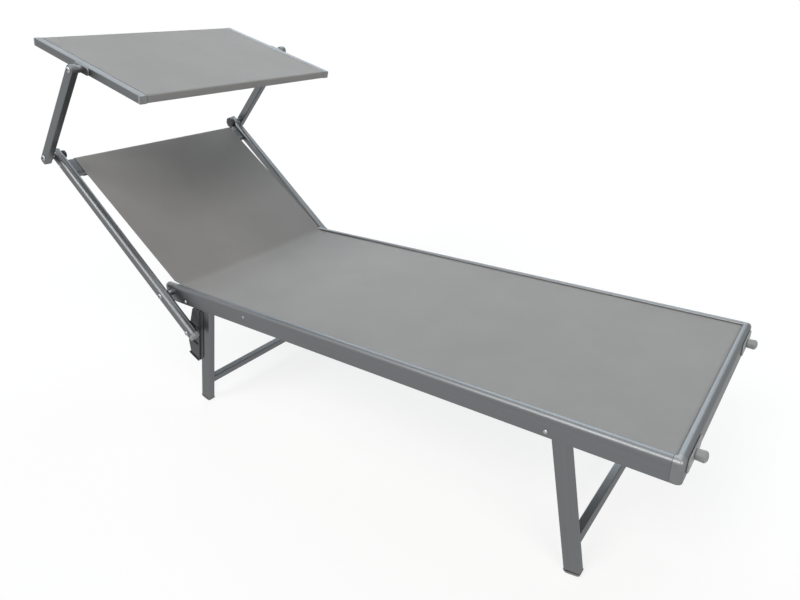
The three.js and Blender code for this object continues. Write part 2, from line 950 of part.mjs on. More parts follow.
for ( const { name, sign } of sides ) {

	const section = tubeSection( armSize, armSize, armEdge, armWall );
	const arm = cut(
		alongX( section, - armUp, armDown ).translate( 0, armMiddle, 0 ),
		pin( 0, 0, boltHole, armInner - overrun, armOuter + overrun ),
		pin( - linkReach, 0, boltHole, armInner - overrun, armOuter + overrun ),
		pin( rackPinReach, - rackPinDrop, boltHole, armInner - overrun, armOuter + overrun )
	);
	add( backrest, `backrest_arm_${ name }`, arm, aluminium, sign );
	add( backrest, `arm_lower_cap_${ name }`, armCap( armDown + gap, armDown + armCapDepth, armCapDepth / 2 ),
		greyPlastic, sign );
	add( backrest, `arm_upper_cap_${ name }`, armCap( - armUp - gap, - armUp - armTopCapDepth, armTopCapDepth / 2 ),
		greyPlastic, sign );

	const pinShape = turned( [
		[ 0, halfWidth + runningGap ],
		[ boltRadius, halfWidth + runningGap ],
		[ boltRadius, armInner - boltRadius ],
		[ rackPinHeadRadius, armInner - boltRadius ],
		[ rackPinHeadRadius, armInner - gap ],
		[ boltRadius, armInner - gap ],
		[ boltRadius, armOuter + gap ],
		...dome( rackPinHeadRadius, rackPinHeadHeight, armOuter + gap, 1 )
	] ).translate( rackPinReach, 0, - rackPinDrop );
	add( backrest, `rack_pin_${ name }`, pinShape, steel, sign );

}

const topBar = alongY( tubeSection( topBarWidth, topBarThickness, topBarEdge, topBarWall ), gap - armInner, armInner - gap );
add( backrest, 'backrest_top_bar', topBar.translate( - topBarReach, 0, - topBarDrop ), aluminium );

// Backrest mesh: a sheet that goes round the top bar
function backrestMesh() {

	const wrap = gap + clothThickness;
	const halfX = topBarWidth / 2 + wrap;
	const halfZ = topBarThickness / 2 + wrap;
	const radius = topBarEdge + wrap;
	const left = - topBarReach - halfX + radius;
	const right = - topBarReach + halfX - radius;
	const top = - topBarDrop + halfZ;
	const bottom = - topBarDrop - halfZ;
	const slope = ( backClothRise - top ) / ( - backClothReach - right );
	const shape = new THREE.Shape();
	shape.moveTo( - backClothReach, backClothRise );
	shape.lineTo( right, top );
	arc( shape, left, top - radius, radius, Math.PI / 2, Math.PI );
	arc( shape, left, bottom + radius, radius, Math.PI, 1.5 * Math.PI );
	arc( shape, right, bottom + radius, radius, 1.5 * Math.PI, 2 * Math.PI );
	shape.lineTo( right + radius, top + slope * radius - clothThickness );
	shape.lineTo( - backClothReach, backClothRise - clothThickness );
	shape.closePath();
	const hollow = roundedRect( topBarWidth + 2 * gap, topBarThickness + 2 * gap, topBarEdge + gap, THREE.Path );
	const points = hollow.getPoints( arcSteps );
	points.forEach( ( p ) => p.add( new THREE.Vector2( - topBarReach, - topBarDrop ) ) );
	shape.holes.push( new THREE.Path( points ) );
	return alongY( shape, backClothInset - halfWidth, halfWidth - backClothInset );

}

add( backrest, 'backrest_fabric', backrestMesh(), mesh );

// Lock nut on the right and clamp knob on the left, over the inner ends of the links' lower bolts

const boltEnd = armInner - lockNutDepth + boltEndCover;
const nutOpening = armInner - gap;
const lockNut = cut(
	turned( [
		[ 0, nutOpening ],
		[ lockNutRadius, nutOpening ],
		...dome( lockNutEdge, lockNutEdge, nutOpening - lockNutDepth + lockNutEdge, - 1 )
			.map( ( [ r, y ] ) => [ r + lockNutRadius - lockNutEdge, y ] ),
		[ 0, nutOpening - lockNutDepth ]
	] ),
	pin( 0, 0, boltHole, boltEnd - gap, armInner )
).translate( - linkReach, 0, 0 );
add( backrest, 'lock_nut_right', lockNut, darkPlastic, - 1 );

const links = hinge( backrest, - linkReach, 0, - linkAngle - reclineAngle );

function clampKnob() {

	const shape = new THREE.Shape();
	const steps = knobFlutes * 2 * arcSteps;

	for ( let i = 0; i < steps; i ++ ) {

		const angle = i / steps * 2 * Math.PI;
		const radius = knobRadius - knobFluteDepth * ( 1 - Math.cos( knobFlutes * angle ) ) / 2;
		const x = radius * Math.cos( angle );
		const y = radius * Math.sin( angle );
		if ( i === 0 ) shape.moveTo( x, y );
		else shape.lineTo( x, y );

	}

	shape.closePath();
	const inner = nutOpening - knobDepth;
	const grip = alongY( shape, inner, nutOpening );
	const domed = turned( [
		[ 0, nutOpening ],
		[ knobRadius, nutOpening ],
		...dome( knobRadius, knobDome, inner + knobDome, - 1 )
	] );
	return cut( common( grip, domed ), pin( 0, 0, boltHole, boltEnd - gap, armInner ) );

}

const knob = hinge( links, 0, 0, 0 );
add( knob, 'clamp_knob_left', clampKnob(), darkPlastic );

// Canopy links: hollow, with closed ends, open only at their bolt holes

function linkOutline( inset ) {

	const half = linkWidth / 2 - inset;
	const tail = linkTailRadius - inset;
	const end = inset - linkTail;
	const shape = new THREE.Shape();
	arc( shape, end + tail, half - tail, tail, Math.PI / 2, Math.PI );
	arc( shape, end + tail, tail - half, tail, Math.PI, 1.5 * Math.PI );
	arc( shape, linkLength, 0, half, - Math.PI / 2, Math.PI / 2 );
	shape.closePath();
	return shape;

}

function link() {

	const middle = ( linkInner + linkOuter ) / 2;
	const edges = alongX( roundedRect( linkThickness, linkWidth, linkEdge ), - linkTail - overrun,
		linkLength + linkWidth ).translate( 0, middle, 0 );
	const body = common( alongY( linkOutline( 0 ), linkInner, linkOuter ), edges );
	const hollow = alongY( linkOutline( linkWall ), linkInner + linkWall, linkOuter - linkWall );
	return cut(
		body,
		hollow,
		pin( 0, 0, boltHole, linkInner - overrun, linkOuter + overrun ),
		pin( linkLength, 0, boltHole, linkInner - overrun, linkOuter + overrun )
	);

}

for ( const { name, sign } of sides ) {

	add( links, `canopy_link_${ name }`, link(), aluminium, sign );

	const bolt = turned( [
		[ 0, boltEnd ],
		[ boltRadius, boltEnd ],
		[ boltRadius, armOuter + runningGap ],
		[ washerRadius, armOuter + runningGap ],
		[ washerRadius, linkInner - gap ],
		[ boltRadius, linkInner - gap ],
		[ boltRadius, linkOuter + gap ],
		...dome( boltHeadRadius, boltHeadHeight, linkOuter + gap, 1 )
	] );
	add( links, `link_bolt_${ name }`, bolt, steel, sign );

}

// Canopy, drawn level with its foot end at +X and turned about the links' upper bolts

const canopy = hinge( links, linkLength, 0, linkAngle + canopyAngle );
const wrapped = clothThickness + gap;
const crossSize = canopyBar - 2 * wrapped;
const frontX = canopyFootReach - canopyBar / 2;
const rearX = canopyBar / 2 - canopyHeadReach;

function canopyCorner( directionX ) {

	const outer = canopyBar / 2;
	const seam = outer - canopyCapDepth;
	const plugSize = canopyBar - 2 * canopyBarWall - 2 * gap;
	const corner = join(
		alongX( roundedRect( canopyBar, canopyBar, canopyBarEdge ), seam, outer ),
		alongX( roundedRect( plugSize, plugSize, canopyBarEdge - canopyBarWall ), seam - canopyPlugDepth, seam + gap )
	);
	return corner.scale( directionX, 1, 1 );

}

for ( const { name, sign } of sides ) {

	const middle = ( canopyInner + canopyOuter ) / 2;
	const section = tubeSection( canopyBar, canopyBar, canopyBarEdge, canopyBarWall );
	const from = canopyCapDepth + gap - canopyHeadReach;
	const to = canopyFootReach - canopyCapDepth - gap;
	const bar = cut(
		alongX( section, from, to ).translate( 0, middle, 0 ),
		pin( 0, 0, boltHole, canopyInner - overrun, canopyOuter + overrun )
	);
	add( canopy, `canopy_side_bar_${ name }`, bar, aluminium, sign );

	const lugFrom = canopyOuter + gap;
	const lugTo = lugFrom + lugThickness;
	const lugShape = roundedRect( lugLength, canopyBar, canopyBar / 2 );
	const lug = cut(
		join(
			alongY( lugShape, lugFrom, lugTo ),
			pin( 0, 0, washerRadius, lugTo - gap, linkInner - runningGap )
		),
		pin( 0, 0, boltHole, lugFrom - overrun, linkInner + overrun )
	);
	add( canopy, `canopy_lug_${ name }`, lug, castAluminium, sign );

	const nut = canopyInner - gap;
	const bolt = turned( [
		[ 0, nut - nutHeight ],
		[ nutRadius, nut - nutHeight ],
		[ nutRadius, nut ],
		[ boltRadius, nut ],
		[ boltRadius, linkOuter + gap ],
		...dome( boltHeadRadius, boltHeadHeight, linkOuter + gap, 1 )
	] );
	add( canopy, `canopy_bolt_${ name }`, bolt, steel, sign );

	const frontCorner = canopyCorner( 1 ).translate( frontX, middle, 0 );
	const rearCorner = canopyCorner( - 1 ).translate( rearX, middle, 0 );
	add( canopy, `canopy_front_corner_${ name }`, frontCorner, greyPlastic, sign );
	add( canopy, `canopy_rear_corner_${ name }`, rearCorner, greyPlastic, sign );

}

const crossSection = tubeSection( crossSize, crossSize, canopyCrossEdge, canopyBarWall );
const crossBar = alongY( crossSection, gap - canopyInner, canopyInner - gap );
add( canopy, 'canopy_front_bar', crossBar.clone().translate( frontX, 0, 0 ), aluminium );
add( canopy, 'canopy_rear_bar', crossBar.clone().translate( rearX, 0, 0 ), aluminium );

// Canopy cloth: one sheet, wrapped round the front and rear bars
function canopyCloth() {

	const half = canopyBar / 2;
	const radius = canopyCrossEdge + wrapped;
	const lower = radius - half;
	const upper = half - radius;
	const under = half - clothThickness;
	const shape = new THREE.Shape();
	arc( shape, frontX + upper, upper, radius, Math.PI / 2, 0 );
	arc( shape, frontX + upper, lower, radius, 0, - Math.PI / 2 );
	arc( shape, frontX - upper, lower, radius, - Math.PI / 2, - Math.PI );
	shape.lineTo( frontX - half, under );
	shape.lineTo( rearX + half, under );
	arc( shape, rearX + upper, lower, radius, 0, - Math.PI / 2 );
	arc( shape, rearX - upper, lower, radius, - Math.PI / 2, - Math.PI );
	arc( shape, rearX - upper, upper, radius, Math.PI, Math.PI / 2 );
	shape.closePath();

	for ( const x of [ frontX, rearX ] ) {

		const hollow = roundedRect( crossSize + 2 * gap, crossSize + 2 * gap, canopyCrossEdge + gap, THREE.Path );
		const points = hollow.getPoints( arcSteps );
		points.forEach( ( p ) => p.add( new THREE.Vector2( x, 0 ) ) );
		shape.holes.push( new THREE.Path( points ) );

	}

	return alongY( shape, canopyClothSlit - canopyInner, canopyInner - canopyClothSlit );

}

add( canopy, 'canopy_fabric', canopyCloth(), mesh );

// The origin is on the floor, under the middle of the whole lounger
const bounds = new THREE.Box3().setFromObject( lounger, true );
const middle = bounds.getCenter( new THREE.Vector3() );
lounger.position.set( - middle.x, - middle.y, - bounds.min.z );

export default lounger;
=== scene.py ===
"""Sun lounger with a tilting canopy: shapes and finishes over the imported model.

Metres throughout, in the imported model's frame: the foot end is at +X, the left side at +Y, Z is up.
A piece is a surface worked out as arrays of points: a profile carried along a path, or a grid.
"""

import json
import math

import bpy
import numpy as np
from bpy.props import FloatProperty, FloatVectorProperty, IntProperty, PointerProperty
from bpy.types import Operator, Panel, PropertyGroup
from mathutils import Matrix, Vector


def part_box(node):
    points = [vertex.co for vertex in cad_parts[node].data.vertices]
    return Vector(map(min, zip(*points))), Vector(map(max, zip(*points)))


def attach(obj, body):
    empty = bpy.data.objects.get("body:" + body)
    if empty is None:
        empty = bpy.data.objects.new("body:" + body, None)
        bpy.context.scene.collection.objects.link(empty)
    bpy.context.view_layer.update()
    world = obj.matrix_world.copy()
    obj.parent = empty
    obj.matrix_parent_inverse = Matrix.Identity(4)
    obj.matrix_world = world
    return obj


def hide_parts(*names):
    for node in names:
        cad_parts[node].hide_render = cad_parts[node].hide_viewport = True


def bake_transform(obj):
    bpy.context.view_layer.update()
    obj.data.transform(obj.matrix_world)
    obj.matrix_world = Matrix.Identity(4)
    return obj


bl_info = {
    "name": "Sun lounger with canopy",
    "version": (1, 0, 0),
    "blender": (4, 5, 0),
    "location": "View3D > Sidebar > Lounger",
    "description": "Builds the aluminium sun lounger, its mesh seat and its tilting canopy",
    "category": "Object",
}

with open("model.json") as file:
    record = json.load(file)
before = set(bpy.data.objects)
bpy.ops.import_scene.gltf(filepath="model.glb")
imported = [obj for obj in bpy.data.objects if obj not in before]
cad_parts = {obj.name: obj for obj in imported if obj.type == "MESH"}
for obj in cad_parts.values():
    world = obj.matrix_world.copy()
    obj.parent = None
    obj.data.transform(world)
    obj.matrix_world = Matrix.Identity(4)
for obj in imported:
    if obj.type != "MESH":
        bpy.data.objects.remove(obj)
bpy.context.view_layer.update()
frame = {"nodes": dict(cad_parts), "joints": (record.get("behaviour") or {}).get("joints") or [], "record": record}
JOINTS = {joint["name"]: np.array(joint["pos_m"], float) for joint in frame["joints"]}
SLOT_COLOURS = {m["slot"]: m["base_color"] for m in frame["record"]["materials"]}
SIDES = (("right", -1.0), ("left", 1.0))
ACROSS = np.array([0.0, 1.0, 0.0])
GAP = 0.0003  # between pieces that touch
TURN_GAP = 0.0005  # beside pieces that turn
LINK_GAP = 0.0086  # between an arm and the link beside it

# Places along and up from the frame's foot end and top
RAIL_SCREW = (-1.054, -0.0224)
ARM_RIVET = (-1.721, 0.2927)
MESH_BEND = -1.322


def centre(node):
    """Middle of a CAD node's box."""
    low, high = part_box(node)
    return (np.array(low) + np.array(high)) / 2


# Sizes and colours


def length(name, description, default):
    return FloatProperty(
        name=name, description=description, default=default, min=0.0, unit="LENGTH", precision=4
    )


def turn(name, description, degrees):
    return FloatProperty(
        name=name, description=description, default=math.radians(degrees), subtype="ANGLE"
    )


def linear(colour):
    """A display colour as the linear one that shaders take."""
    c = np.array(colour[:3], float)
    return tuple(np.where(c <= 0.04045, c / 12.92, ((c + 0.055) / 1.055) ** 2.4))


def paint(name, description, colour):
    return FloatVectorProperty(
        name=name,
        description=description,
        default=linear(colour),
        size=3,
        min=0.0,
        max=1.0,
        subtype="COLOR",
    )


def strength(name, place, default):
    return FloatProperty(
        name=name, description=f"Strength of the soft light {place}", default=default, min=0.0
    )


class FrameSizes(PropertyGroup):
    section_height: length("Section height", "Height of the frame section", 0.0472)
    section_depth: length("Section depth", "Depth of the box along its top", 0.018)
    box_height: length("Box height", "Height of the box along its top", 0.012)
    edge_radius: length("Outer edge", "Radius of the rounded outer edge", 0.0098)
    inner_radius: length("Inner edge", "Radius of the inner top edge", 0.004)
    web: length("Web", "Thickness of the web under the box", 0.003)
    corner_radius: length("Corner", "Radius of the foot corners in plan", 0.01)
    corner_reach: length("Corner reach", "Reach of a corner piece along each side", 0.02)
    cap: length("End cap", "Thickness of the caps on the rails' head ends", 0.006)
    groove_radius: length("Groove", "Radius of the groove that holds the mesh", 0.0028)
    groove_depth: length("Groove depth", "Groove centre below the rail's top", 0.006)
    groove_inset: length("Groove inset", "Groove centre from the outer face", 0.01407)
    groove_mouth: length("Groove mouth", "Half height of the groove's slit", 0.0012)
    head_bar: length("Head bar", "Diameter of the round bar under the seat", 0.022)
    peg_radius: length("Buffer peg", "Radius of the rubber pegs at the foot end", 0.011)


class LegSizes(PropertyGroup):
    width: length("Leg width", "Width of the leg tube seen from the side", 0.0355)
    thickness: length("Leg thickness", "Thickness of the leg tube across the lounger", 0.0193)
    edge: length("Leg edge", "Radius of the tube's edges", 0.004)
    outer_inset: length("Inset", "Leg's outer face from the rail's outer face", 0.0055)
    bar: length("Crossbar", "Width of the square bar between two legs", 0.02)
    bar_edge: length("Crossbar edge", "Radius of that bar's edges", 0.003)
    foot_width: length("Foot width", "Width of the foot plug", 0.0361)
    foot_thickness: length("Foot thickness", "Thickness of the foot plug", 0.0199)
    foot_height: length("Foot height", "Height of the foot plug that shows", 0.009)
    foot_radius: length("Foot round", "Radius of the foot plug's lower corners", 0.0085)
    rack_top: length("Rack top", "Reach of the rack's upper end from the leg's face", 0.028)
    rack_reach: length("Rack reach", "Reach of the upper lip of a notch", 0.037)
    rack_width: length("Rack width", "Width of the rack across the lounger", 0.024)
    rack_pitch: length("Rack pitch", "Distance between two notches", 0.052)
    hook_reach: length("Hook reach", "Reach of a hook from the leg's face", 0.045)
    cheek_reach: length("Cheek", "Reach of the rack's cheek over the leg's side", 0.012)
    cheek: length("Cheek thickness", "Thickness of that cheek", 0.0017)


class BackrestSizes(PropertyGroup):
    arm: length("Arm", "Width of the square arm tube", 0.025)
    arm_edge: length("Arm edge", "Radius of the arm's lower edges", 0.004)
    arm_crown: length("Arm crown", "Radius of the arm's upper edges", 0.0092)
    arm_channel: length("Arm channel", "Width of the shallow channel along the arm's top", 0.004)
    channel_depth: length("Channel depth", "Depth of that channel", 0.0006)
    inset: length("Inset", "Arm's inner face from the rail's outer face", 0.011)
    up: length("Upper reach", "Arm's reach above the hinge", 0.533)
    down: length("Lower reach", "Arm's reach below the hinge", 0.14)
    top_bar_width: length("Top bar width", "Width of the flat top bar", 0.055)
    top_bar_thickness: length("Top bar thickness", "Thickness of the flat top bar", 0.02)
    top_bar_edge: length("Top bar edge", "Radius of the top bar's edges", 0.006)
    bolt: length("Bolt", "Radius of the bolts' shanks", 0.004)
    head: length("Bolt head", "Radius of the bolts' heads", 0.008)
    knob: length("Knob", "Radius of the clamp knob", 0.0175)
    flutes: IntProperty(
        name="Flutes", description="Number of hollows round the knob", default=8, min=3
    )


class CanopySizes(PropertyGroup):
    link_width: length("Link width", "Width of the links", 0.025)
    link_thickness: length("Link thickness", "Thickness of the links", 0.02)
    link_edge: length("Link edge", "Radius of the links' edges", 0.003)
    bar: length("Side bar", "Width of the canopy's square side bars", 0.02)
    bar_edge: length("Bar edge", "Radius of those bars' edges", 0.002)
    cross_edge: length("Cross edge", "Radius of the cross bars' edges", 0.003)
    cap: length("Cap", "Depth of the caps on the side bars' ends", 0.006)
    lug: length("Lug length", "Length of the plates that carry the canopy", 0.064)


class FabricSizes(PropertyGroup):
    thickness: length("Thickness", "Thickness of the coated mesh", 0.0014)
    slit: length("Slit", "Gap between the canopy's mesh and its side bars", 0.001)
    seat_sag: length("Seat sag", "Sag in the middle of the seat", 0.004)
    canopy_sag: length("Canopy sag", "Sag in the middle of the canopy", 0.0025)
    pitch: length("Weave pitch", "Distance between two threads", 0.0016)
    back_width: length("Backrest width", "Width of the mesh on the backrest", 0.5746)


class Finishes(PropertyGroup):
    aluminium: paint("Aluminium", "Anodised tubes", (0.445, 0.454, 0.462))
    cast_aluminium: paint("Cast aluminium", "Corners and lugs", (0.5, 0.507, 0.512))
    mesh: paint("Mesh", "Coated woven mesh", (0.546, 0.542, 0.539))
    grey_plastic: paint("Grey plastic", "Caps and buffers", SLOT_COLOURS["grey_plastic"])
    # Painted shade: the foot plugs get a darker copy of the buffers' grey plastic, for the shade on their sides
    # near the floor
    foot_plastic: paint("Foot plastic", "Plugs under the legs", (0.44, 0.44, 0.435))
    dark_plastic: paint("Dark plastic", "Racks and knob", SLOT_COLOURS["dark_plastic"])
    steel: paint("Steel", "Bolts, pins and hinge plates", SLOT_COLOURS["steel"])


class StageSettings(PropertyGroup):
    azimuth: turn("Azimuth", "Camera's turn from the right side to the foot end", 36.529)
    elevation: turn("Elevation", "Camera's angle above the horizon", 24.755)
    roll: turn("Roll", "Camera's turn about its own axis", -1.576)
    lens: FloatProperty(
        name="Lens", description="Focal length on a 36 mm sensor", default=28.56, min=1.0
    )
    place: FloatVectorProperty(
        name="Camera place",
        description="Where the camera stands",
        default=(0.9879, -1.2180, 1.0301),
        size=3,
        subtype="TRANSLATION",
        unit="LENGTH",
    )
    key: strength("Key light", "above the foot end's right side", 1.3)
    side: strength("Side light", "above the right side", 1.4)
    top: strength("Top light", "overhead", 0.18)
    far: strength("Far light", "above the left side", 0.36)
    back: strength("Back light", "behind the left side", 0.65)
    end: strength("End light", "behind the head end's left side", 0.6)
    head: strength("Head light", "behind the head end", 0.3)
    sky: strength("Sky", "all round", 0.08)
    floor: paint("Floor", "Colour of the floor", (0.99, 0.99, 0.99))


# Places


class Place:
    """A spot with its own along and up directions in the lounger's side plane."""

    def __init__(self, origin, along):
        self.origin = np.array(origin, float)
        self.along = np.array(along, float) * (1.0, 0.0, 1.0)
        self.along /= np.linalg.norm(self.along)
        self.up = np.array([-self.along[2], 0.0, self.along[0]])

    def at(self, x, y, z):
        """origin + x times along + y across + z times up, for whole arrays."""
        x, y, z = np.broadcast_arrays(x, y, z)
        return (
            self.origin + x[..., None] * self.along + y[..., None] * ACROSS + z[..., None] * self.up
        )

    def local(self, point):
        """Along, across and up of a point seen from this place."""
        offset = np.array(point, float) - self.origin
        return offset @ self.along, offset[1], offset @ self.up


def quarter_back(up):
    """The along direction that goes with an up direction."""
    return np.array([up[2], 0.0, -up[0]])


rail_low, rail_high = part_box("side_rail_left")
bar_low, bar_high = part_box("canopy_side_bar_left")
HALF_WIDTH = rail_high.y
BED = Place((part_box("foot_crossbar")[1].x, 0.0, rail_high.z), (1.0, 0.0, 0.0))
BACKREST = Place(JOINTS["recline"], JOINTS["recline"] - JOINTS["canopy_swing"])
LINKS = Place(JOINTS["canopy_swing"], JOINTS["canopy_tilt"] - JOINTS["canopy_swing"])
CANOPY = Place(JOINTS["canopy_tilt"], centre("canopy_front_bar") - centre("canopy_rear_bar"))
HEAD_LEGS = Place(
    JOINTS["head_legs_fold"], quarter_back(JOINTS["head_legs_fold"] - centre("head_leg_crossbar"))
)
FOOT_LEGS = Place(
    JOINTS["foot_legs_fold"], quarter_back(JOINTS["foot_legs_fold"] - centre("foot_leg_crossbar"))
)
LINK_REACH = float(np.linalg.norm(JOINTS["recline"] - JOINTS["canopy_swing"]))
LINK_LENGTH = float(np.linalg.norm(JOINTS["canopy_tilt"] - JOINTS["canopy_swing"]))

# Profiles, drawn as points (u, v)


def joined(*runs):
    """One row of points out of several."""
    return np.concatenate([np.array(run, float) for run in runs])


def arc(u, v, radius, start, end, steps=8):
    """Points at the radius about (u, v), at even angles from start to end."""
    angle = np.linspace(start, end, steps + 1)
    return np.stack([u + radius * np.cos(angle), v + radius * np.sin(angle)], -1)


def rounded(width, height, radius, steps=7, low_radius=None):
    """Rounded rectangle: a quarter circle about each corner's centre, joined by straight sides.
    The two lower corners may have a radius of their own."""
    low_radius = radius if low_radius is None else low_radius
    radii = np.array([radius, radius, low_radius, low_radius])[:, None]
    corner = np.array([[1, 1], [-1, 1], [-1, -1], [1, -1]]) * (
        np.array([width, height]) / 2 - radii
    )
    angle = np.arange(4)[:, None] * np.pi / 2 + np.linspace(0, np.pi / 2, steps + 1)
    ring = np.stack([np.cos(angle), np.sin(angle)], -1) * radii[..., None]
    return (corner[:, None] + ring).reshape(-1, 2)


def circle(radius):
    """Points at even angles round a circle."""
    sides = 48
    return arc(0, 0, radius, 0, 2 * np.pi * (1 - 1 / sides), sides - 1)


def lever(radius, end, end_radius):
    """A round boss and a round end joined by their common tangents, whose directions lean from
    the centre line by the arc cosine of the radii's difference over the distance."""
    axis = np.arctan2(end[1], end[0])
    lean = np.arccos((radius - end_radius) / np.linalg.norm(end))
    return joined(
        arc(0, 0, radius, axis + lean, axis - lean + 2 * np.pi, 16),
        arc(*end, end_radius, axis - lean, axis + lean, 16),
    )


def anticlockwise(outline):
    """The same outline with its area counted positive."""
    u, v = outline.T
    area = np.sum(u * np.roll(v, -1) - np.roll(u, -1) * v)
    return outline if area > 0 else outline[::-1]


def inset(outline, distance):
    """Every point moves inward by the distance, along the mean of its two sides' normals over
    one plus their product, which keeps each side parallel to itself."""
    side = np.roll(outline, -1, 0) - outline
    side /= np.linalg.norm(side, axis=1, keepdims=True)
    normal = np.stack([-side[:, 1], side[:, 0]], -1)
    before = np.roll(normal, 1, 0)
    share = 1 + np.sum(normal * before, 1, keepdims=True)
    return outline + distance * (normal + before) / share


def stacked(sections, stations):
    """Outlines (u, v), each at its own station w."""
    depth = np.broadcast_to(stations[:, None, None], sections.shape[:2] + (1,))
    return np.concatenate([sections, depth], -1)


def prism(outline, low, high, edge=0.0004, steps=3):
    """An outline carried from low to high. Its two end edges are rounded: at the angle a the
    section is inset by edge times (1 - sin a) and stands edge times (1 - cos a) from the end."""
    outline = anticlockwise(np.array(outline, float))
    angle = np.linspace(0, np.pi / 2, steps + 1)
    insets = edge * (1 - np.sin(angle))
    depths = edge * (1 - np.cos(angle))
    stations = np.concatenate([low + depths, high - depths[::-1]])
    sections = np.stack([inset(outline, d) for d in insets])
    return stacked(np.concatenate([sections, sections[::-1]]), stations)


def lathe(profile, sides=48, facets=0, flutes=0, flute_depth=0.0):
    """Rings of the profile's (radius, height) points. A radius given as negative is a polygon's
    with that many facets: it grows to radius over the cosine of the angle from a facet's middle.
    Flutes take flute_depth times (1 - cos of flutes times the angle) / 2 off every radius."""
    profile = np.array(profile, float)
    angle = np.linspace(0, 2 * np.pi, sides, endpoint=False)
    radius = np.abs(profile[:, :1]) * np.ones(sides)
    if facets:
        part = 2 * np.pi / facets
        off = (angle + part / 2) % part - part / 2
        grown = radius / np.cos(off)
        radius = np.where(profile[:, :1] < 0, grown, radius)
    if flutes:
        share = radius / np.abs(profile[:, 0]).max()
        radius = radius - share * flute_depth * (1 - np.cos(flutes * angle)) / 2
    height = np.broadcast_to(profile[:, 1:], radius.shape)
    return np.stack([radius * np.cos(angle), radius * np.sin(angle), height], -1)


def dome(radius, rise, rim, direction=1, stop=85, steps=9):
    """A quarter ellipse from its rim toward the axis: radius times cos a, rise times sin a."""
    angle = np.radians(np.linspace(0, stop, steps + 1))
    return np.stack([radius * np.cos(angle), rim + direction * rise * np.sin(angle)], -1)


def soft_edge(radius, edge, rim):
    """A quarter circle out round the edge of a flat lower end."""
    angle = np.linspace(np.pi / 2, 0, 5)
    return np.stack([radius - edge * (1 - np.cos(angle)), rim - edge * np.sin(angle)], -1)


def socket_head(radius, rise, rim):
    """A domed bolt head with a six-sided socket in its middle."""
    top = dome(radius, rise, rim, 1, 62, 7)
    wide = radius * 0.4
    return joined(top, [[-wide, top[-1, 1] + 0.0001], [-wide, rim + rise * 0.25]])


# Turning local points (u, v, w) into the frame's


def along_x(place, points, y=0.0, z=0.0):
    """The profile stands across and up, and is carried along the place's along direction."""
    return place.at(points[..., 2], y + points[..., 0], z + points[..., 1])


def along_y(place, points, x=0.0, z=0.0):
    """The profile stands along and up, and is carried across the lounger."""
    return place.at(x + points[..., 0], points[..., 2], z + points[..., 1])


# Surfaces


def fan_volume(points, loop):
    """Six times the signed volume under a fan of triangles from the loop's first point."""
    ring = points[loop]
    return np.sum(np.cross(ring[..., 1:-1, :], ring[..., 2:, :]) * ring[..., :1, :])


def skin(rings):
    """Closed surface over rings of points: quads join each ring to the next and one face closes
    each end. Its map is the distance round the ring and the distance along the rings."""
    rings = np.array(rings, float)
    stations, sides, _ = rings.shape
    index = np.arange(stations * sides).reshape(stations, sides)
    beside = np.roll(index, -1, 1)
    quads = np.stack([index[:-1], beside[:-1], beside[1:], index[1:]], -1).reshape(-1, 4)
    points = rings.reshape(-1, 3)
    points = points - points.mean(0)
    volume = fan_volume(points, quads)
    volume += fan_volume(points, index[0][::-1]) + fan_volume(points, index[-1])
    if volume < 0:
        return skin(rings[:, ::-1])
    widest = np.argmax(np.linalg.norm(np.roll(rings, -1, 1) - rings, axis=2).sum(1))
    steps = np.linalg.norm(np.roll(rings[widest], -1, 0) - rings[widest], axis=1)
    around = np.concatenate([[0], np.cumsum(steps)])
    strides = np.linalg.norm(rings[1:] - rings[:-1], axis=2).mean(1)
    along = np.concatenate([[0], np.cumsum(strides)])
    grid = np.stack(np.meshgrid(around, along), -1)
    square = [grid[:-1, :-1], grid[:-1, 1:], grid[1:, 1:], grid[1:, :-1]]
    quad_map = np.stack(square, 2).reshape(-1, 2)
    cap_maps = []
    for ring in (rings[0][::-1], rings[-1]):
        flat = ring - ring.mean(0)
        axes = np.linalg.svd(flat, full_matrices=False)[2][:2]
        cap_maps.append(flat @ axes.T)
    faces = quads.tolist() + [index[0][::-1].tolist(), index[-1].tolist()]
    return rings.reshape(-1, 3), faces, np.concatenate([quad_map, *cap_maps])


def new_object(name, data):
    obj = bpy.data.objects.new(name, data)
    bpy.context.scene.collection.objects.link(obj)
    return obj


def piece(body, slot, nodes, name, *parts, finish=None, cloth=False):
    """One object made of closed parts, which rides on its body and stands for its CAD nodes. Its
    finish is its slot's unless another is given. Flat sides stay flat, save on cloth."""
    points, faces, maps = [], [], []
    count = 0
    for rings in parts:
        part_points, part_faces, part_map = skin(rings)
        points.append(part_points)
        faces += [[i + count for i in face] for face in part_faces]
        maps.append(part_map)
        count += len(part_points)
    mesh = bpy.data.meshes.new(name)
    mesh.from_pydata(np.concatenate(points).tolist(), [], faces)
    layer = mesh.uv_layers.new(name="UVMap")
    layer.data.foreach_set("uv", np.concatenate(maps).astype(np.float32).ravel())
    mesh.shade_smooth()
    mesh.materials.append(finish_for(finish or slot))
    obj = new_object(name, mesh)
    mesh.set_sharp_from_angle(angle=math.radians(50))
    if not cloth:
        smooth = obj.modifiers.new("Flat sides", "WEIGHTED_NORMAL")
        smooth.keep_sharp = True
    if body:
        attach(obj, body)
    if nodes:
        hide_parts(*nodes)
    return obj


def crossbar(body, node, name, place, outline, end):
    """A bar across the lounger, in the place of its CAD node."""
    x, _, z = place.local(centre(node))
    piece(body, "aluminium", [node], name, along_y(place, prism(outline, -end, end), x, z))


def pair(body, slot, node, name, *parts, finish=None):
    """A piece on the left and its mirror image on the right. The star in its names is its side."""
    for side, sign in SIDES:
        nodes = [node.replace("*", side)] if node else []
        turned = [rings * (1.0, sign, 1.0) for rings in parts]
        piece(body, slot, nodes, name.replace("*", side), *turned, finish=finish)


# Shared effects


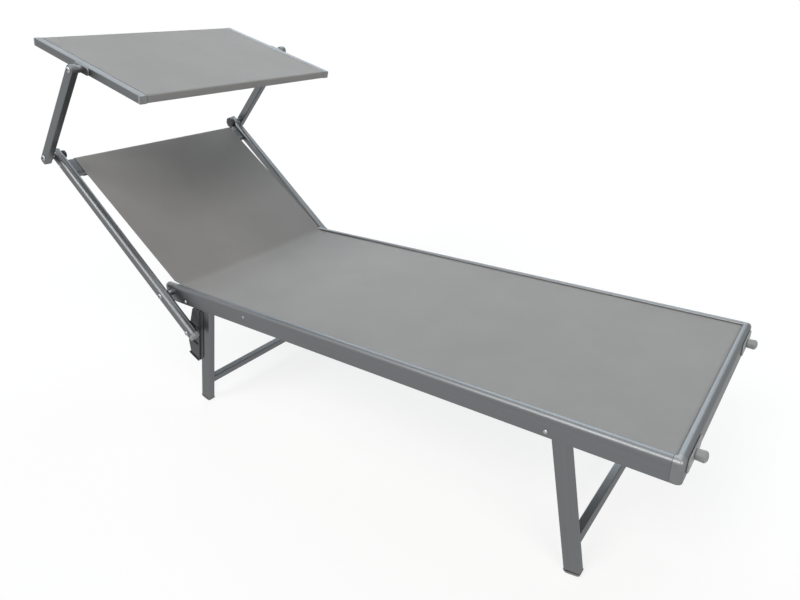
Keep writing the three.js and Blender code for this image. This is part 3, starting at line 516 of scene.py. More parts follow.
def feed(tree, node, inputs):
    """Each input named gets a constant or another node's output."""
    for name, value in inputs.items():
        if isinstance(value, bpy.types.NodeSocket):
            tree.links.new(value, node.inputs[name])
        else:
            node.inputs[name].default_value = value
    return node.outputs


def add(tree, kind, inputs, **settings):
    """A shader node of the kind, with its settings and inputs; it gives its outputs."""
    node = tree.nodes.new("ShaderNode" + kind)
    for name, value in settings.items():
        setattr(node, name, value)
    return feed(tree, node, inputs)


def calculate(tree, operation, *values):
    return add(tree, "Math", dict(enumerate(values)), operation=operation)[0]


def weighted(tree, first, share, second, other_share):
    """The sum of two values, each times its share."""
    second = calculate(tree, "MULTIPLY", second, other_share)
    return calculate(tree, "MULTIPLY_ADD", first, share, second)


def noise(tree, vector, scale, detail=3.0, roughness=0.55):
    inputs = {"Vector": vector, "Scale": scale, "Detail": detail, "Roughness": roughness}
    return add(tree, "TexNoise", inputs)["Fac"]


def spread(tree, value, low, high, new_low=0.0, new_high=1.0):
    """A value's range moved to another one."""
    ends = {"From Min": low, "From Max": high, "To Min": new_low, "To Max": new_high}
    return add(tree, "MapRange", {"Value": value, **ends})["Result"]


def tones(tree, factor, colour, low, high):
    """A colour times a low or a high share, by a value."""
    dark, pale = ((*(min(1.0, c * share) for c in colour), 1.0) for share in (low, high))
    return add(tree, "Mix", {"Factor": factor, "A": dark, "B": pale}, data_type="RGBA")["Result"]


def bumped(tree, height, distance, strength):
    inputs = {"Height": height, "Distance": distance, "Strength": strength}
    return add(tree, "Bump", inputs)["Normal"]


def drawn_grain(tree, given):
    """Fine lines along a drawn tube: noise on the map, stretched sixty times along the length,
    over a broader, fainter band of the same kind."""
    drawn = add(tree, "Mapping", {"Vector": given["Vector"], "Scale": (1.0, 0.016, 1.0)})["Vector"]
    fine = noise(tree, drawn, given["Lines"], 2.0)
    broad = noise(tree, drawn, 160.0, 2.0)
    return {"Grain": spread(tree, fine, 0.3, 0.7), "Bands": spread(tree, broad, 0.35, 0.65)}


def weather(tree, given):
    """Handling marks and dust: a broad soft noise and a fine speckle on object coordinates."""
    blotch = noise(tree, given["Vector"], given["Size"], 4.0, 0.6)
    speckle = noise(tree, given["Vector"], 900.0, 2.0, 0.5)
    return {"Blotch": spread(tree, blotch, 0.3, 0.7), "Speckle": spread(tree, speckle, 0.35, 0.65)}


def weave(tree, given):
    """Plain weave on the map: the product of a sine across and a sine along is high where the
    thread on top lies one way and low where it lies the other; both sines' sizes give the
    threads their round backs."""
    split = add(tree, "SeparateXYZ", {"Vector": given["Vector"]})
    turns = math.pi / bpy.context.scene.lounger_fabric.pitch
    waves = [
        calculate(tree, "SINE", calculate(tree, "MULTIPLY", split[axis], turns)) for axis in "XY"
    ]
    backs = calculate(tree, "MULTIPLY", *(calculate(tree, "ABSOLUTE", wave) for wave in waves))
    over = calculate(tree, "MULTIPLY", *waves)
    wander = noise(tree, given["Vector"], 700.0, 2.0)
    return {
        "Height": calculate(tree, "MULTIPLY_ADD", over, 0.35, backs),
        # Painted shade: this colour share is low between the threads and high on their round backs, times a fine
        # noise
        "Threads": calculate(tree, "MULTIPLY", spread(tree, backs, 0.0, 0.6), wander),
    }


# Each shared effect: what works it out, and the numbers that it takes beside its vector
EFFECTS = {
    "Drawn grain": (drawn_grain, {"Lines": 1400.0}),
    "Weather": (weather, {"Size": 9.0}),
    "Mesh weave": (weave, {}),
}


def new_group(name):
    """One shared effect as a shader group."""
    work_out, numbers = EFFECTS[name]
    tree = bpy.data.node_groups.new(name, "ShaderNodeTree")
    new_socket = tree.interface.new_socket
    new_socket("Vector", in_out="INPUT", socket_type="NodeSocketVector")
    for socket, default in numbers.items():
        item = new_socket(socket, in_out="INPUT", socket_type="NodeSocketFloat")
        item.default_value = default
    results = work_out(tree, tree.nodes.new("NodeGroupInput").outputs)
    for socket in results:
        new_socket(socket, in_out="OUTPUT", socket_type="NodeSocketFloat")
    feed(tree, tree.nodes.new("NodeGroupOutput"), results)
    return tree


def effect(tree, name, vector, **numbers):
    """A shared effect in a finish; its group is made the first time that it is asked for."""
    group = bpy.data.node_groups.get(name) or new_group(name)
    return add(tree, "Group", {"Vector": vector, **numbers}, node_tree=group)


# Finishes: each function gives the shader's inputs, from texture coordinates and a colour

METAL = {"Metallic": 1.0, "Specular Tint": (0.7, 0.7, 0.7, 1.0)}


def drawn_aluminium(tree, where, colour):
    """Anodised tube: drawn lines and faint bands in colour and roughness, and dull patches."""
    grain = effect(tree, "Drawn grain", where["UV"])
    marks = effect(tree, "Weather", where["Object"])
    lines = weighted(tree, grain["Grain"], 0.45, grain["Bands"], 0.55)
    dull = weighted(tree, marks["Blotch"], 0.6, grain["Grain"], 0.4)
    return METAL | {
        "Base Color": tones(tree, lines, colour, 0.95, 1.05),
        "Roughness": spread(tree, dull, 0.0, 1.0, 0.36, 0.45),
        "Normal": bumped(tree, grain["Grain"], 0.00002, 0.05),
    }


def pebbled(tree, where, colour, size, shades, roughness, relief):
    """A fine speckle, and patches of another shade and gloss."""
    marks = effect(tree, "Weather", where["Object"], Size=size)
    return {
        "Base Color": tones(tree, marks["Blotch"], colour, *shades),
        "Roughness": spread(tree, marks["Blotch"], 0.0, 1.0, *roughness),
        "Normal": bumped(tree, marks["Speckle"], *relief),
    }


def cast_metal(tree, where, colour, *roughness):
    """Cast or plated metal."""
    return METAL | pebbled(tree, where, colour, 30.0, (0.86, 1.08), roughness, (0.0001, 0.3))


def moulded_plastic(tree, where, colour):
    return pebbled(tree, where, colour, 24.0, (0.85, 1.15), (0.4, 0.58), (0.00012, 0.4))


def coated_mesh(tree, where, colour):
    """Coated polyester mesh: woven threads with painted shade between them, and faint broad shading."""
    threads = effect(tree, "Mesh weave", where["UV"])
    marks = effect(tree, "Weather", where["Object"], Size=6.0)
    # The colour mixes the threads' painted shade with broad random patches
    mixed = weighted(tree, threads["Threads"], 1.1, marks["Blotch"], 0.3)
    return {
        "Base Color": tones(tree, mixed, colour, 0.82, 1.14),
        "Roughness": spread(tree, marks["Speckle"], 0.0, 1.0, 0.62, 0.74),
        "Specular IOR Level": 0.35,
        "Sheen Weight": 0.08,
        "Sheen Roughness": 0.5,
        "Normal": bumped(tree, threads["Height"], 0.0003, 0.35),
    }


# Each slot's finish, with its lowest and highest roughness where that differs
FINISHES = {
    "aluminium": (drawn_aluminium,),
    "cast_aluminium": (cast_metal, 0.35, 0.49),
    "steel": (cast_metal, 0.23, 0.37),
    "grey_plastic": (moulded_plastic,),
    "foot_plastic": (moulded_plastic,),
    "dark_plastic": (moulded_plastic,),
    "mesh": (coated_mesh,),
}


def blank(name):
    """A material with its shader, and texture coordinates to draw on."""
    material = bpy.data.materials.new(name)
    material.use_nodes = True
    tree = material.node_tree
    return material, tree, tree.nodes["Principled BSDF"], add(tree, "TexCoord", {})


def finish_for(slot):
    """One finish, by its slot's name or its own, made the first time that it is asked for."""
    found = bpy.data.materials.get("Lounger " + slot)
    if found:
        return found
    material, tree, shader, where = blank("Lounger " + slot)
    make, *roughness = FINISHES[slot]
    colour = getattr(bpy.context.scene.lounger_finishes, slot)
    feed(tree, shader, make(tree, where, colour, *roughness))
    return material


# Bed frame


def frame_section(sizes, grooved=True):
    """The frame's section as (distance from the outer face, height from the top): a web with a
    box along its top, round on its outer edge, with a round groove behind a slit inside."""
    depth, radius, edge = sizes.section_depth, sizes.edge_radius, sizes.inner_radius
    groove, mouth, level = sizes.groove_radius, sizes.groove_mouth, -sizes.groove_depth
    opening = math.asin(mouth / groove)
    fillet, nick = 0.002, 0.0005
    runs = [
        [[0, -sizes.section_height]],
        arc(-radius, -radius, radius, 0, np.pi / 2, 10),
        arc(edge - depth, -edge, edge, np.pi / 2, np.pi, 5),
    ]
    if grooved:
        runs += [
            [[-depth, level + mouth]],
            arc(-sizes.groove_inset, level, groove, np.pi - opening, opening - np.pi, 16),
            [[-depth, level - mouth]],
        ]
    runs += [
        [[-depth, nick - sizes.box_height], [nick - depth, -sizes.box_height]],
        arc(-sizes.web - fillet, -sizes.box_height - fillet, fillet, np.pi / 2, 0, 4),
        [[-sizes.web, -sizes.section_height]],
    ]
    return joined(*runs)


class LOUNGER_OT_frame(Operator):
    """Side rails, foot crossbar, rounded corners, end caps and the round head bar"""

    bl_idname = "lounger.frame"
    bl_label = "Frame"

    def execute(self, context):
        sizes = context.scene.lounger_frame
        section = frame_section(sizes)
        head = rail_low.x - BED.origin[0]
        rail = along_x(BED, prism(section, head, -sizes.corner_reach - GAP), HALF_WIDTH)
        pair("bed_frame", "aluminium", "side_rail_*", "rail_*", rail)
        cap = prism(frame_section(sizes, False), head - GAP - sizes.cap, head - GAP, 0.0009)
        cap = along_x(BED, cap, HALF_WIDTH)
        pair("bed_frame", "grey_plastic", "rail_end_cap_*", "end_cap_*", cap)
        corner = self.corner(sizes, section)
        pair("bed_frame", "cast_aluminium", "frame_corner_*", "corner_*", corner)
        reach = HALF_WIDTH - sizes.corner_reach - GAP
        bar = along_y(BED, prism(section, -reach, reach))
        piece("bed_frame", "aluminium", ["foot_crossbar"], "crossbar_foot", bar)
        round_bar, end = circle(sizes.head_bar / 2), HALF_WIDTH - sizes.web - GAP
        crossbar("bed_frame", "head_crossbar", "crossbar_head", BED, round_bar, end)
        return {"FINISHED"}

    def corner(self, sizes, section):
        """A quarter turn of the section. A point at the depth d from the outer face turns about
        a centre as deep as the corner radius, or just deeper than d itself where that is more:
        at the angle a it stands at its radius times (sin a, cos a) from that centre."""
        angle = np.linspace(0, np.pi / 2, 15)[:, None]
        depth = -section[:, 0]
        middle = np.maximum(sizes.corner_radius, depth + 0.0004)
        x = (middle - depth) * np.sin(angle) - middle
        y = (middle - depth) * np.cos(angle) - middle
        reach = np.full((1, len(depth)), -sizes.corner_reach)
        x = np.concatenate([reach, x, -depth[None]])
        y = HALF_WIDTH + np.concatenate([-depth[None], y, reach])
        return BED.at(x, y, section[:, 1])


class LOUNGER_OT_buffers(Operator):
    """Plates and rubber pegs on the foot crossbar"""

    bl_idname = "lounger.buffers"
    bl_label = "Foot end buffers"

    def execute(self, context):
        low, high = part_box("buffer_plate_left")
        _, y, z = BED.local(centre("buffer_plate_left"))
        height, thick = high.z - low.z, high.x - low.x
        outline = rounded(high.y - low.y, height, height / 2 - 0.0001, 12)
        plate = prism(outline, GAP, GAP + thick, 0.0014, 4)
        seat = GAP * 2 + thick
        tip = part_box("buffer_peg_left")[1].x - BED.origin[0]
        radius, bulge = context.scene.lounger_frame.peg_radius, 0.006
        profile = joined(
            [[0.002, -0.006], [0.0038, -0.006], [0.0055, -0.0035], [0.0038, -0.0033]],
            [[0.0038, seat], [radius - 0.0014, seat], [radius - 0.001, seat + 0.0004]],
            dome(radius, bulge, tip - bulge, 1, 80),
        )
        for kind, points in (("plate", plate), ("peg", lathe(profile))):
            names = f"buffer_{kind}_*", f"{kind}_*"
            pair("bed_frame", "grey_plastic", *names, along_x(BED, points, y, z))
        return {"FINISHED"}


class LOUNGER_OT_leg_hinges(Operator):
    """Plates riveted inside the rails, each with a leg's pivot pin and its stop"""

    bl_idname = "lounger.leg_hinges"
    bl_label = "Leg hinges"

    def execute(self, context):
        legs = context.scene.lounger_legs
        outer = HALF_WIDTH - context.scene.lounger_frame.web - GAP
        plate, boss, pin, stop_up = 0.002, 0.012, 0.0037, -0.01
        inner = outer - plate
        head = HALF_WIDTH - legs.outer_inset - legs.thickness - GAP
        stop_width, stop_height, stop_depth = 0.003, 0.008, 0.009
        stop = rounded(stop_width, stop_height, 0.0008, 3)
        stop = prism(stop, inner - stop_depth, outer)
        pivot = [[pin, head + 0.0001], [pin, outer]]
        pivot = lathe(joined(dome(0.007, 0.003, head, -1)[::-1], pivot))
        shank = lathe(joined([[0.003, inner]], dome(0.0048, 0.0026, HALF_WIDTH + GAP)))
        for prefix, place, side, rivet in (
            ("head", HEAD_LEGS, -1, (-0.076, -0.0074)), ("foot", FOOT_LEGS, 1, (-0.0237, -0.0045))
        ):
            level = Place(place.origin, (1, 0, 0))
            stop_x = side * (legs.width / 2 + GAP + stop_width / 2)
            ear = level.local(place.at(stop_x, 0.0, stop_up))[::2]
            parts = [
                along_y(level, prism(lever(boss, end, radius), inner, outer))
                for end, radius in ((rivet, 0.008), (ear, 0.009))
            ]
            parts += [along_y(place, stop, stop_x, stop_up), along_y(level, pivot)]
            parts.append(along_y(level, shank, *rivet))
            names = f"{prefix}_leg_hinge_*", f"{prefix}_hinge_*"
            pair("bed_frame", "steel", *names, *parts)
        return {"FINISHED"}


# Legs


class LOUNGER_OT_legs(Operator):
    """Four legs with round tops, their crossbars and foot caps"""

    bl_idname = "lounger.legs"
    bl_label = "Legs"

    def execute(self, context):
        for prefix, place in (("head", HEAD_LEGS), ("foot", FOOT_LEGS)):
            self.two_legs(context.scene.lounger_legs, prefix, place)
        return {"FINISHED"}

    def two_legs(self, sizes, prefix, place):
        """The legs end where the feet's round corners, pressed a little flat, meet the floor."""
        pressed = 0.0008
        body = f"{prefix}_legs"
        lean = math.acos(min(1.0, place.up[2]))
        flat = sizes.foot_width / 2 - sizes.foot_radius
        reach = place.origin[2] + pressed - sizes.foot_radius - flat * math.sin(lean)
        end = reach / math.cos(lean) + sizes.foot_radius
        middle = HALF_WIDTH - sizes.outer_inset - sizes.thickness / 2
        tube = self.tube(sizes, place, middle, end - sizes.foot_height - GAP)
        pair(body, "aluminium", f"{prefix}_leg_*", f"{prefix}_tube_*", tube)
        foot = along_y(place, self.foot(sizes, end) + (0, 0, middle))
        foot[..., 2] = np.maximum(foot[..., 2], 0.0)
        names = f"{prefix}_leg_foot_*", f"{prefix}_foot_*"
        # The feet take the darker copy of the grey plastic, which paints shade on them
        pair(body, "grey_plastic", *names, foot, finish="foot_plastic")
        square = rounded(sizes.bar, sizes.bar, sizes.bar_edge)
        bar_end = middle - sizes.thickness / 2 - GAP
        crossbar(body, f"{prefix}_leg_crossbar", f"{prefix}_bar", place, square, bar_end)

    def tube(self, sizes, place, middle, end):
        """The section goes up the leg; over the pivot its width shrinks with the cosine of the
        angle while its height grows with the sine, which makes the top round."""
        section = rounded(sizes.width, sizes.thickness, sizes.edge)
        angle = np.radians(np.concatenate([[0, 0], np.linspace(0, 80, 15)]))
        up = np.concatenate([[-end, -0.05], sizes.width / 2 * np.sin(angle[2:])])
        x = section[:, 0] * np.cos(angle)[:, None]
        return place.at(x, middle + section[:, 1], up[:, None])

    def foot(self, sizes, end):
        """Side outline of the foot plug, round at its lower corners, carried across."""
        half, radius = sizes.foot_width / 2, sizes.foot_radius
        top = sizes.foot_height - end
        outline = joined(
            [[-half, top]],
            arc(radius - half, radius - end, radius, np.pi, 1.5 * np.pi, 12),
            arc(half - radius, radius - end, radius, 1.5 * np.pi, 2 * np.pi, 12),
            [[half, top]],
        )
        return prism(outline, -sizes.foot_thickness / 2, sizes.foot_thickness / 2, 0.0024, 5)


class LOUNGER_OT_racks(Operator):
    """Hooked racks on the head legs"""

    bl_idname = "lounger.racks"
    bl_label = "Racks"

    def execute(self, context):
        sizes = context.scene.lounger_legs
        outline, top, end = self.outline(sizes)
        face = -sizes.width / 2 - GAP
        reach = face + sizes.cheek_reach
        flank = [[face, -top], [face, -end], [reach, sizes.cheek_reach - end], [reach, -top]]
        outer = HALF_WIDTH - sizes.outer_inset + GAP
        cheek = prism(flank, outer, outer + sizes.cheek, 0.0005)
        rack = prism(outline, HALF_WIDTH - sizes.rack_width, HALF_WIDTH, 0.0008)
        parts = along_y(HEAD_LEGS, rack), along_y(HEAD_LEGS, cheek)
        pair("head_legs", "dark_plastic", "rack_*", "hooked_rack_*", *parts)
        return {"FINISHED"}

    def outline(self, sizes):
        """Down the rack's outer side: each notch is a half circle at the end of a slot that
        slants up and out between two straight lines, and the hook under it reaches farthest."""
        face = -sizes.width / 2 - GAP
        thick, tip = sizes.rack_reach, sizes.hook_reach
        depth, half, tilt, first = 0.0089, 0.0047, math.radians(16), 0.0887
        sin, cos = math.sin(tilt), math.cos(tilt)
        section = bpy.context.scene.lounger_frame.section_height
        bevel, tail, foot, under_rail = 0.004, 0.0075, 0.009, 0.001
        below = section - (BED.origin[2] - HEAD_LEGS.origin[2]) + under_rail
        lean = math.acos(HEAD_LEGS.up[2])
        high = sizes.rack_top
        top = (below + (high - face) * math.sin(lean)) / math.cos(lean)
        runs = [[[face, -top], [face - high + bevel, -top], [face - high, -top - bevel]]]
        start = np.pi / 2 - tilt
        for notch in range(3):
            along = first + notch * sizes.rack_pitch
            upper = along - half * cos - (thick - depth + half * sin) * sin / cos
            lower = along + half * cos - (tip - depth - half * sin) * sin / cos
            under = (0.0, 0.014) if notch < 2 else (bevel, bevel)
            runs += [
                [[face - thick, -upper]],
                arc(face - depth, -along, half, start, start - np.pi, 14),
                [[face - tip, -lower], [face - tip + under[0], -lower - under[1]]],
            ]
        end = first + 2 * sizes.rack_pitch + tail
        runs.append([[face - 0.006, -end], [face, foot - end]])
        return joined(*runs), top, end - foot


# Backrest


def arm_section(sizes):
    """A rounded square with a rounder top and a shallow channel along it, whose sides slope."""
    half, wide, deep = sizes.arm / 2, sizes.arm_channel / 2, sizes.channel_depth
    ring = rounded(sizes.arm, sizes.arm, sizes.arm_crown, 9, sizes.arm_edge)
    channel = [[wide + deep, half], [wide, half - deep], [-wide, half - deep], [-wide - deep, half]]
    return np.concatenate([ring[:10], channel, ring[10:]])


def capped_end(size, edge, start, end, radius, crown=None):
    """A rounded square that closes an end: past the end minus the radius it is inset by the
    radius times (1 - cos a) while it goes on by the radius times sin a."""
    crown = edge if crown is None else crown
    direction = np.sign(end - start)
    angle = np.linspace(0, np.pi / 2, 7)
    insets = np.concatenate([[0], radius * (1 - np.cos(angle))])
    stations = np.concatenate([[start], end - direction * radius * (1 - np.sin(angle))])
    least = 0.0008
    sections = [
        rounded(size - 2 * d, size - 2 * d, max(crown - d, least), 9, max(edge - d, least))
        for d in insets
    ]
    return stacked(np.stack(sections), stations)


class LOUNGER_OT_backrest(Operator):
    """Arms with their caps, and the flat top bar"""

    bl_idname = "lounger.backrest"
    bl_label = "Backrest frame"

    def execute(self, context):
        sizes = context.scene.lounger_backrest
        middle = HALF_WIDTH + sizes.inset + sizes.arm / 2
        arm = along_x(BACKREST, prism(arm_section(sizes), -sizes.up, sizes.down), middle)
        pair("backrest", "aluminium", "backrest_arm_*", "arm_*", arm)
        for end, start, stop, radius in (
            ("lower", sizes.down + GAP, sizes.down + 0.012, 0.006),
            ("upper", -sizes.up - GAP, -sizes.up - 0.003, 0.0015),
        ):
            cap = capped_end(sizes.arm, sizes.arm_edge, start, stop, radius, sizes.arm_crown)
            cap = along_x(BACKREST, cap, middle)
            pair("backrest", "grey_plastic", f"arm_{end}_cap_*", f"{end}_cap_*", cap)
        end = HALF_WIDTH + sizes.inset - GAP
        flat = rounded(sizes.top_bar_width, sizes.top_bar_thickness, sizes.top_bar_edge, 9)
        crossbar("backrest", "backrest_top_bar", "top_bar", BACKREST, flat, end)
        return {"FINISHED"}


class LOUNGER_OT_hardware(Operator):
    """Recline bolts, rack pins, link bolts, canopy bolts and the lock nut"""

    bl_idname = "lounger.hardware"
    bl_label = "Hardware"

    def execute(self, context):
        sizes = context.scene.lounger_backrest
        arm_in = HALF_WIDTH + sizes.inset
        arm_out = arm_in + sizes.arm
        link_in = arm_out + LINK_GAP
        link_out = link_in + context.scene.lounger_canopy.link_thickness
        bolt, washer, shoulder = sizes.bolt, 0.009, 0.0065

        def collar(radius, low, high, rim=0.0003):
            edge = radius - rim
            return [[edge, low], [radius, low + rim], [radius, high - rim], [edge, high]]

        def hexagon(face, nut=0.007, rim=0.0004):
            """A six-sided nut inside the face, and the bolt where it leaves the nut."""
            low = face - 0.005
            return [[rim - nut, low], [-nut, low + rim], [-nut, face], [bolt, face]]

        def screwed(face):
            """The bolt where it leaves the face, and its head."""
            return joined([[bolt, face + GAP]], socket_head(sizes.head, 0.0036, face + GAP))

        recline = joined(
            hexagon(HALF_WIDTH - context.scene.lounger_frame.web - GAP),
            [[bolt, HALF_WIDTH + GAP]],
            collar(washer, HALF_WIDTH + GAP, arm_in - TURN_GAP),
            [[bolt, arm_in - TURN_GAP]],
            screwed(arm_out),
        )
        pin = joined(
            soft_edge(bolt, 0.0008, HALF_WIDTH + 0.0013),
            [[bolt, arm_in - bolt]],
            collar(shoulder, arm_in - bolt, arm_in - GAP),
            [[bolt, arm_in - GAP], [bolt, arm_out + GAP]],
            dome(shoulder, 0.003, arm_out + GAP),
        )
        link = joined(
            [[bolt, arm_in - 0.006], [bolt, arm_out + TURN_GAP]],
            collar(washer, arm_out + TURN_GAP, link_in - GAP),
            [[bolt, link_in - GAP]],
            screwed(link_out),
        )
        upper = joined(hexagon(bar_low.y - GAP), screwed(link_out))
        pin_x, _, pin_z = BACKREST.local(centre("rack_pin_left"))
        for body, node, name, place, profile, x, z in (
            ("bed_frame", "recline_bolt_*", "recline_bolts_*", BACKREST, recline, 0, 0),
            ("backrest", "rack_pin_*", "notch_pin_*", BACKREST, pin, pin_x, pin_z),
            ("canopy_links", "link_bolt_*", "lower_bolt_*", LINKS, link, 0, 0),
            ("canopy", "canopy_bolt_*", "upper_bolt_*", CANOPY, upper, 0, 0),
        ):
            pair(body, "steel", node, name, along_y(place, lathe(profile, facets=6), x, z))
        for body, name, radius, rise, face, spot in (
            ("bed_frame", "rail_screw_*", 0.0036, 0.0012, HALF_WIDTH, RAIL_SCREW),
            ("backrest", "arm_rivet_*", 0.0042, 0.0016, arm_out, ARM_RIVET),
        ):
            head = along_y(BED, lathe(dome(radius, rise, face - 0.0002), 32), *spot)
            pair(body, "steel", None, name, head)
        outer, radius, rim = arm_in - GAP, 0.011, 0.0004
        profile = joined(
            [[0.0035, outer - 0.0068], [0.0055, outer - 0.008]],
            soft_edge(radius, 0.0015, outer - 0.0065),
            [[radius, outer - rim], [radius - rim, outer]],
        )
        nut = along_y(BACKREST, lathe(profile, 96, flutes=16, flute_depth=0.0007), -LINK_REACH)
        nut = nut * (1.0, -1.0, 1.0)
        piece("backrest", "dark_plastic", ["lock_nut_right"], "small_nut", nut)
        return {"FINISHED"}


class LOUNGER_OT_knob(Operator):
    """Fluted clamp knob on the left arm"""

    bl_idname = "lounger.knob"
    bl_label = "Clamp knob"

    def execute(self, context):
        sizes = context.scene.lounger_backrest
        outer = HALF_WIDTH + sizes.inset - GAP
        radius, depth, rise = sizes.knob, 0.011, 0.003
        inner = outer - depth
        profile = joined(
            [[radius * 0.28, inner + 0.0009]],
            dome(radius, rise, inner + rise, -1, 70, 8)[::-1],
            [[radius, outer - 0.0012], [radius - 0.0008, outer]],
        )
        knob = along_y(LINKS, lathe(profile, 128, flutes=sizes.flutes, flute_depth=0.0014))
        piece("clamp_knob", "dark_plastic", ["clamp_knob_left"], "fluted_knob", knob)
        return {"FINISHED"}


# Canopy


def canopy_ends():
    """Where the front and the rear bar's middles lie along the canopy."""
    return [CANOPY.local(centre(f"canopy_{end}_bar"))[0] for end in ("front", "rear")]


class LOUNGER_OT_links(Operator):
    """Two swinging links between the arms and the canopy"""

    bl_idname = "lounger.links"
    bl_label = "Canopy links"

    def execute(self, context):
        sizes = context.scene.lounger_canopy
        back = context.scene.lounger_backrest
        inner = HALF_WIDTH + back.inset + back.arm + LINK_GAP
        half, tail = sizes.link_width / 2, 0.008
        outline = joined(
            arc(tail - 0.02, half - tail, tail, np.pi / 2, np.pi, 10),
            arc(tail - 0.02, tail - half, tail, np.pi, 1.5 * np.pi, 10),
            arc(LINK_LENGTH, 0, half, -np.pi / 2, np.pi / 2, 22),
        )
        link = prism(outline, inner, inner + sizes.link_thickness, sizes.link_edge, 6)
        pair("canopy_links", "aluminium", "canopy_link_*", "link_*", along_y(LINKS, link))
        return {"FINISHED"}


class LOUNGER_OT_canopy_frame(Operator):
    """The canopy's side bars, cross bars, corner caps and lugs"""

    bl_idname = "lounger.canopy_frame"
    bl_label = "Canopy frame"

    def execute(self, context):
        sizes = context.scene.lounger_canopy
        outer, half = bar_high.y, sizes.bar / 2
        middle = outer - half
        front, rear = canopy_ends()
        short = half - sizes.cap - GAP
        side = prism(rounded(sizes.bar, sizes.bar, sizes.bar_edge), rear - short, front + short)
        side = along_x(CANOPY, side, middle)
        pair("canopy", "aluminium", "canopy_side_bar_*", "side_bar_*", side)
        plate, boss_radius = 0.004, 0.009
        lug = rounded(sizes.lug, sizes.bar, half - 0.0001, 12)
        lug = prism(lug, outer + GAP, outer + GAP + plate, 0.001)
        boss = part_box("canopy_lug_left")[1].y
        boss = prism(circle(boss_radius), outer + 0.003, boss, 0.0005)
        parts = along_y(CANOPY, lug), along_y(CANOPY, boss)
        pair("canopy", "cast_aluminium", "canopy_lug_*", "lug_*", *parts)
        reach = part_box("canopy_front_bar")[1].y
        thin = sizes.bar - 2 * (context.scene.lounger_fabric.thickness + GAP)
        cross = rounded(thin, thin, sizes.cross_edge)
        for end, x, way in (("front", front, 1), ("rear", rear, -1)):
            start, stop = x + way * (half - sizes.cap), x + way * half
            cap = capped_end(sizes.bar, sizes.bar_edge, start, stop, 0.001)
            names = f"canopy_{end}_corner_*", f"{end}_cap_*_of_canopy"
            pair("canopy", "grey_plastic", *names, along_x(CANOPY, cap, middle))
            crossbar("canopy", f"canopy_{end}_bar", f"{end}_bar_of_canopy", CANOPY, cross, reach)
        return {"FINISHED"}


# Fabric


def resample(path):
    """The same path, with every stretch longer than the spacing divided evenly."""
    spacing = 0.012
    stretches = [
        np.linspace(a, b, math.ceil(np.linalg.norm(b - a) / spacing), endpoint=False)
        for a, b in zip(path[:-1], path[1:])
    ]
    return np.concatenate([*stretches, path[-1:]])


def cloth(place, path, half_width, thickness, sag):
    """A sheet whose middle line follows the path in the side plane. Its points go across by the
    half width times s, for s from -1 to 1, and down by sag times (1 - s squared); both faces
    stand half the thickness off along the normal, which is the product of the two directions."""
    columns = 40
    s = np.linspace(-1, 1, columns + 1)
    sheet = place.at(path[:, :1], half_width[:, None] * s, path[:, 1:] - sag[:, None] * (1 - s**2))
    normal = np.cross(np.gradient(sheet, axis=0), np.gradient(sheet, axis=1))
    normal /= np.linalg.norm(normal, axis=-1, keepdims=True)
    off = normal * thickness / 2
    return np.concatenate([sheet + off, (sheet - off)[:, ::-1]], 1)


def sagging(share, depth):
    """The depth times the root of the sine of pi times the share of the way."""
    return depth * np.sqrt(np.clip(np.sin(np.pi * np.clip(share, 0, 1)), 0, 1))


def rise(value, low, high):
    """Smooth step from 0 at low to 1 at high."""
    t = np.clip((value - low) / (high - low), 0, 1)
    return t * t * (3 - 2 * t)


class LOUNGER_OT_sling(Operator):
    """One mesh sheet: the seat, held in the grooves, and the backrest, round the top bar"""

    bl_idname = "lounger.sling"
    bl_label = "Seat and backrest mesh"

    def execute(self, context):
        scene = context.scene
        fabric, sizes, back = scene.lounger_fabric, scene.lounger_frame, scene.lounger_backrest
        thick = fabric.thickness
        edge = HALF_WIDTH - sizes.groove_inset
        level = -sizes.groove_depth
        bar = BED.local(centre("backrest_top_bar"))
        lean = Place((0, 0, 0), BACKREST.along)
        wrap = GAP + thick / 2
        wide = back.top_bar_width / 2 + wrap
        high = back.top_bar_thickness / 2 + wrap
        radius = back.top_bar_edge + wrap
        loop = joined(
            [[wide - radius, high]],
            arc(radius - wide, high - radius, radius, np.pi / 2, np.pi),
            arc(radius - wide, radius - high, radius, np.pi, 1.5 * np.pi),
            arc(wide - radius, radius - high, radius, 1.5 * np.pi, 1.97 * np.pi),
        )
        loop = lean.at(loop[:, 0], 0.0, loop[:, 1])[:, ::2] + (bar[0], bar[2])
        bend = np.array([MESH_BEND, level])
        up = loop[0] - bend
        up /= np.linalg.norm(up)
        turn_radius = 0.03
        swing = math.acos(-up[0])
        tangent = turn_radius * math.tan(swing / 2)
        pivot = np.array([bend[0] + tangent, level + turn_radius])
        curve = arc(*pivot, turn_radius, -np.pi / 2, -np.pi / 2 - swing, 12)
        path = resample(joined([[-sizes.groove_inset, level]], curve, loop))
        seat = rise(path[:, 0], MESH_BEND + 0.004, MESH_BEND + 0.016)
        above = rise(path[:, 1], 0.0005, 0.006)
        beside = 0.0008
        neck = HALF_WIDTH - sizes.section_depth - beside
        half_width = neck + (edge - neck) * seat
        half_width = half_width + (fabric.back_width / 2 - neck) * above * (1 - seat)
        sag = sagging(path[:, 0] / MESH_BEND, fabric.seat_sag) * (path[:, 0] > MESH_BEND)
        rings = cloth(BED, path, half_width, thick, sag)
        obj = piece(None, "mesh", ["seat_fabric", "backrest_fabric"], "sling", rings, cloth=True)
        start, end = BED.at(MESH_BEND + np.array([0.0095, -0.024]), 0.0, np.array([level, 0.0184]))
        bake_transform(obj)
        return {"FINISHED"}


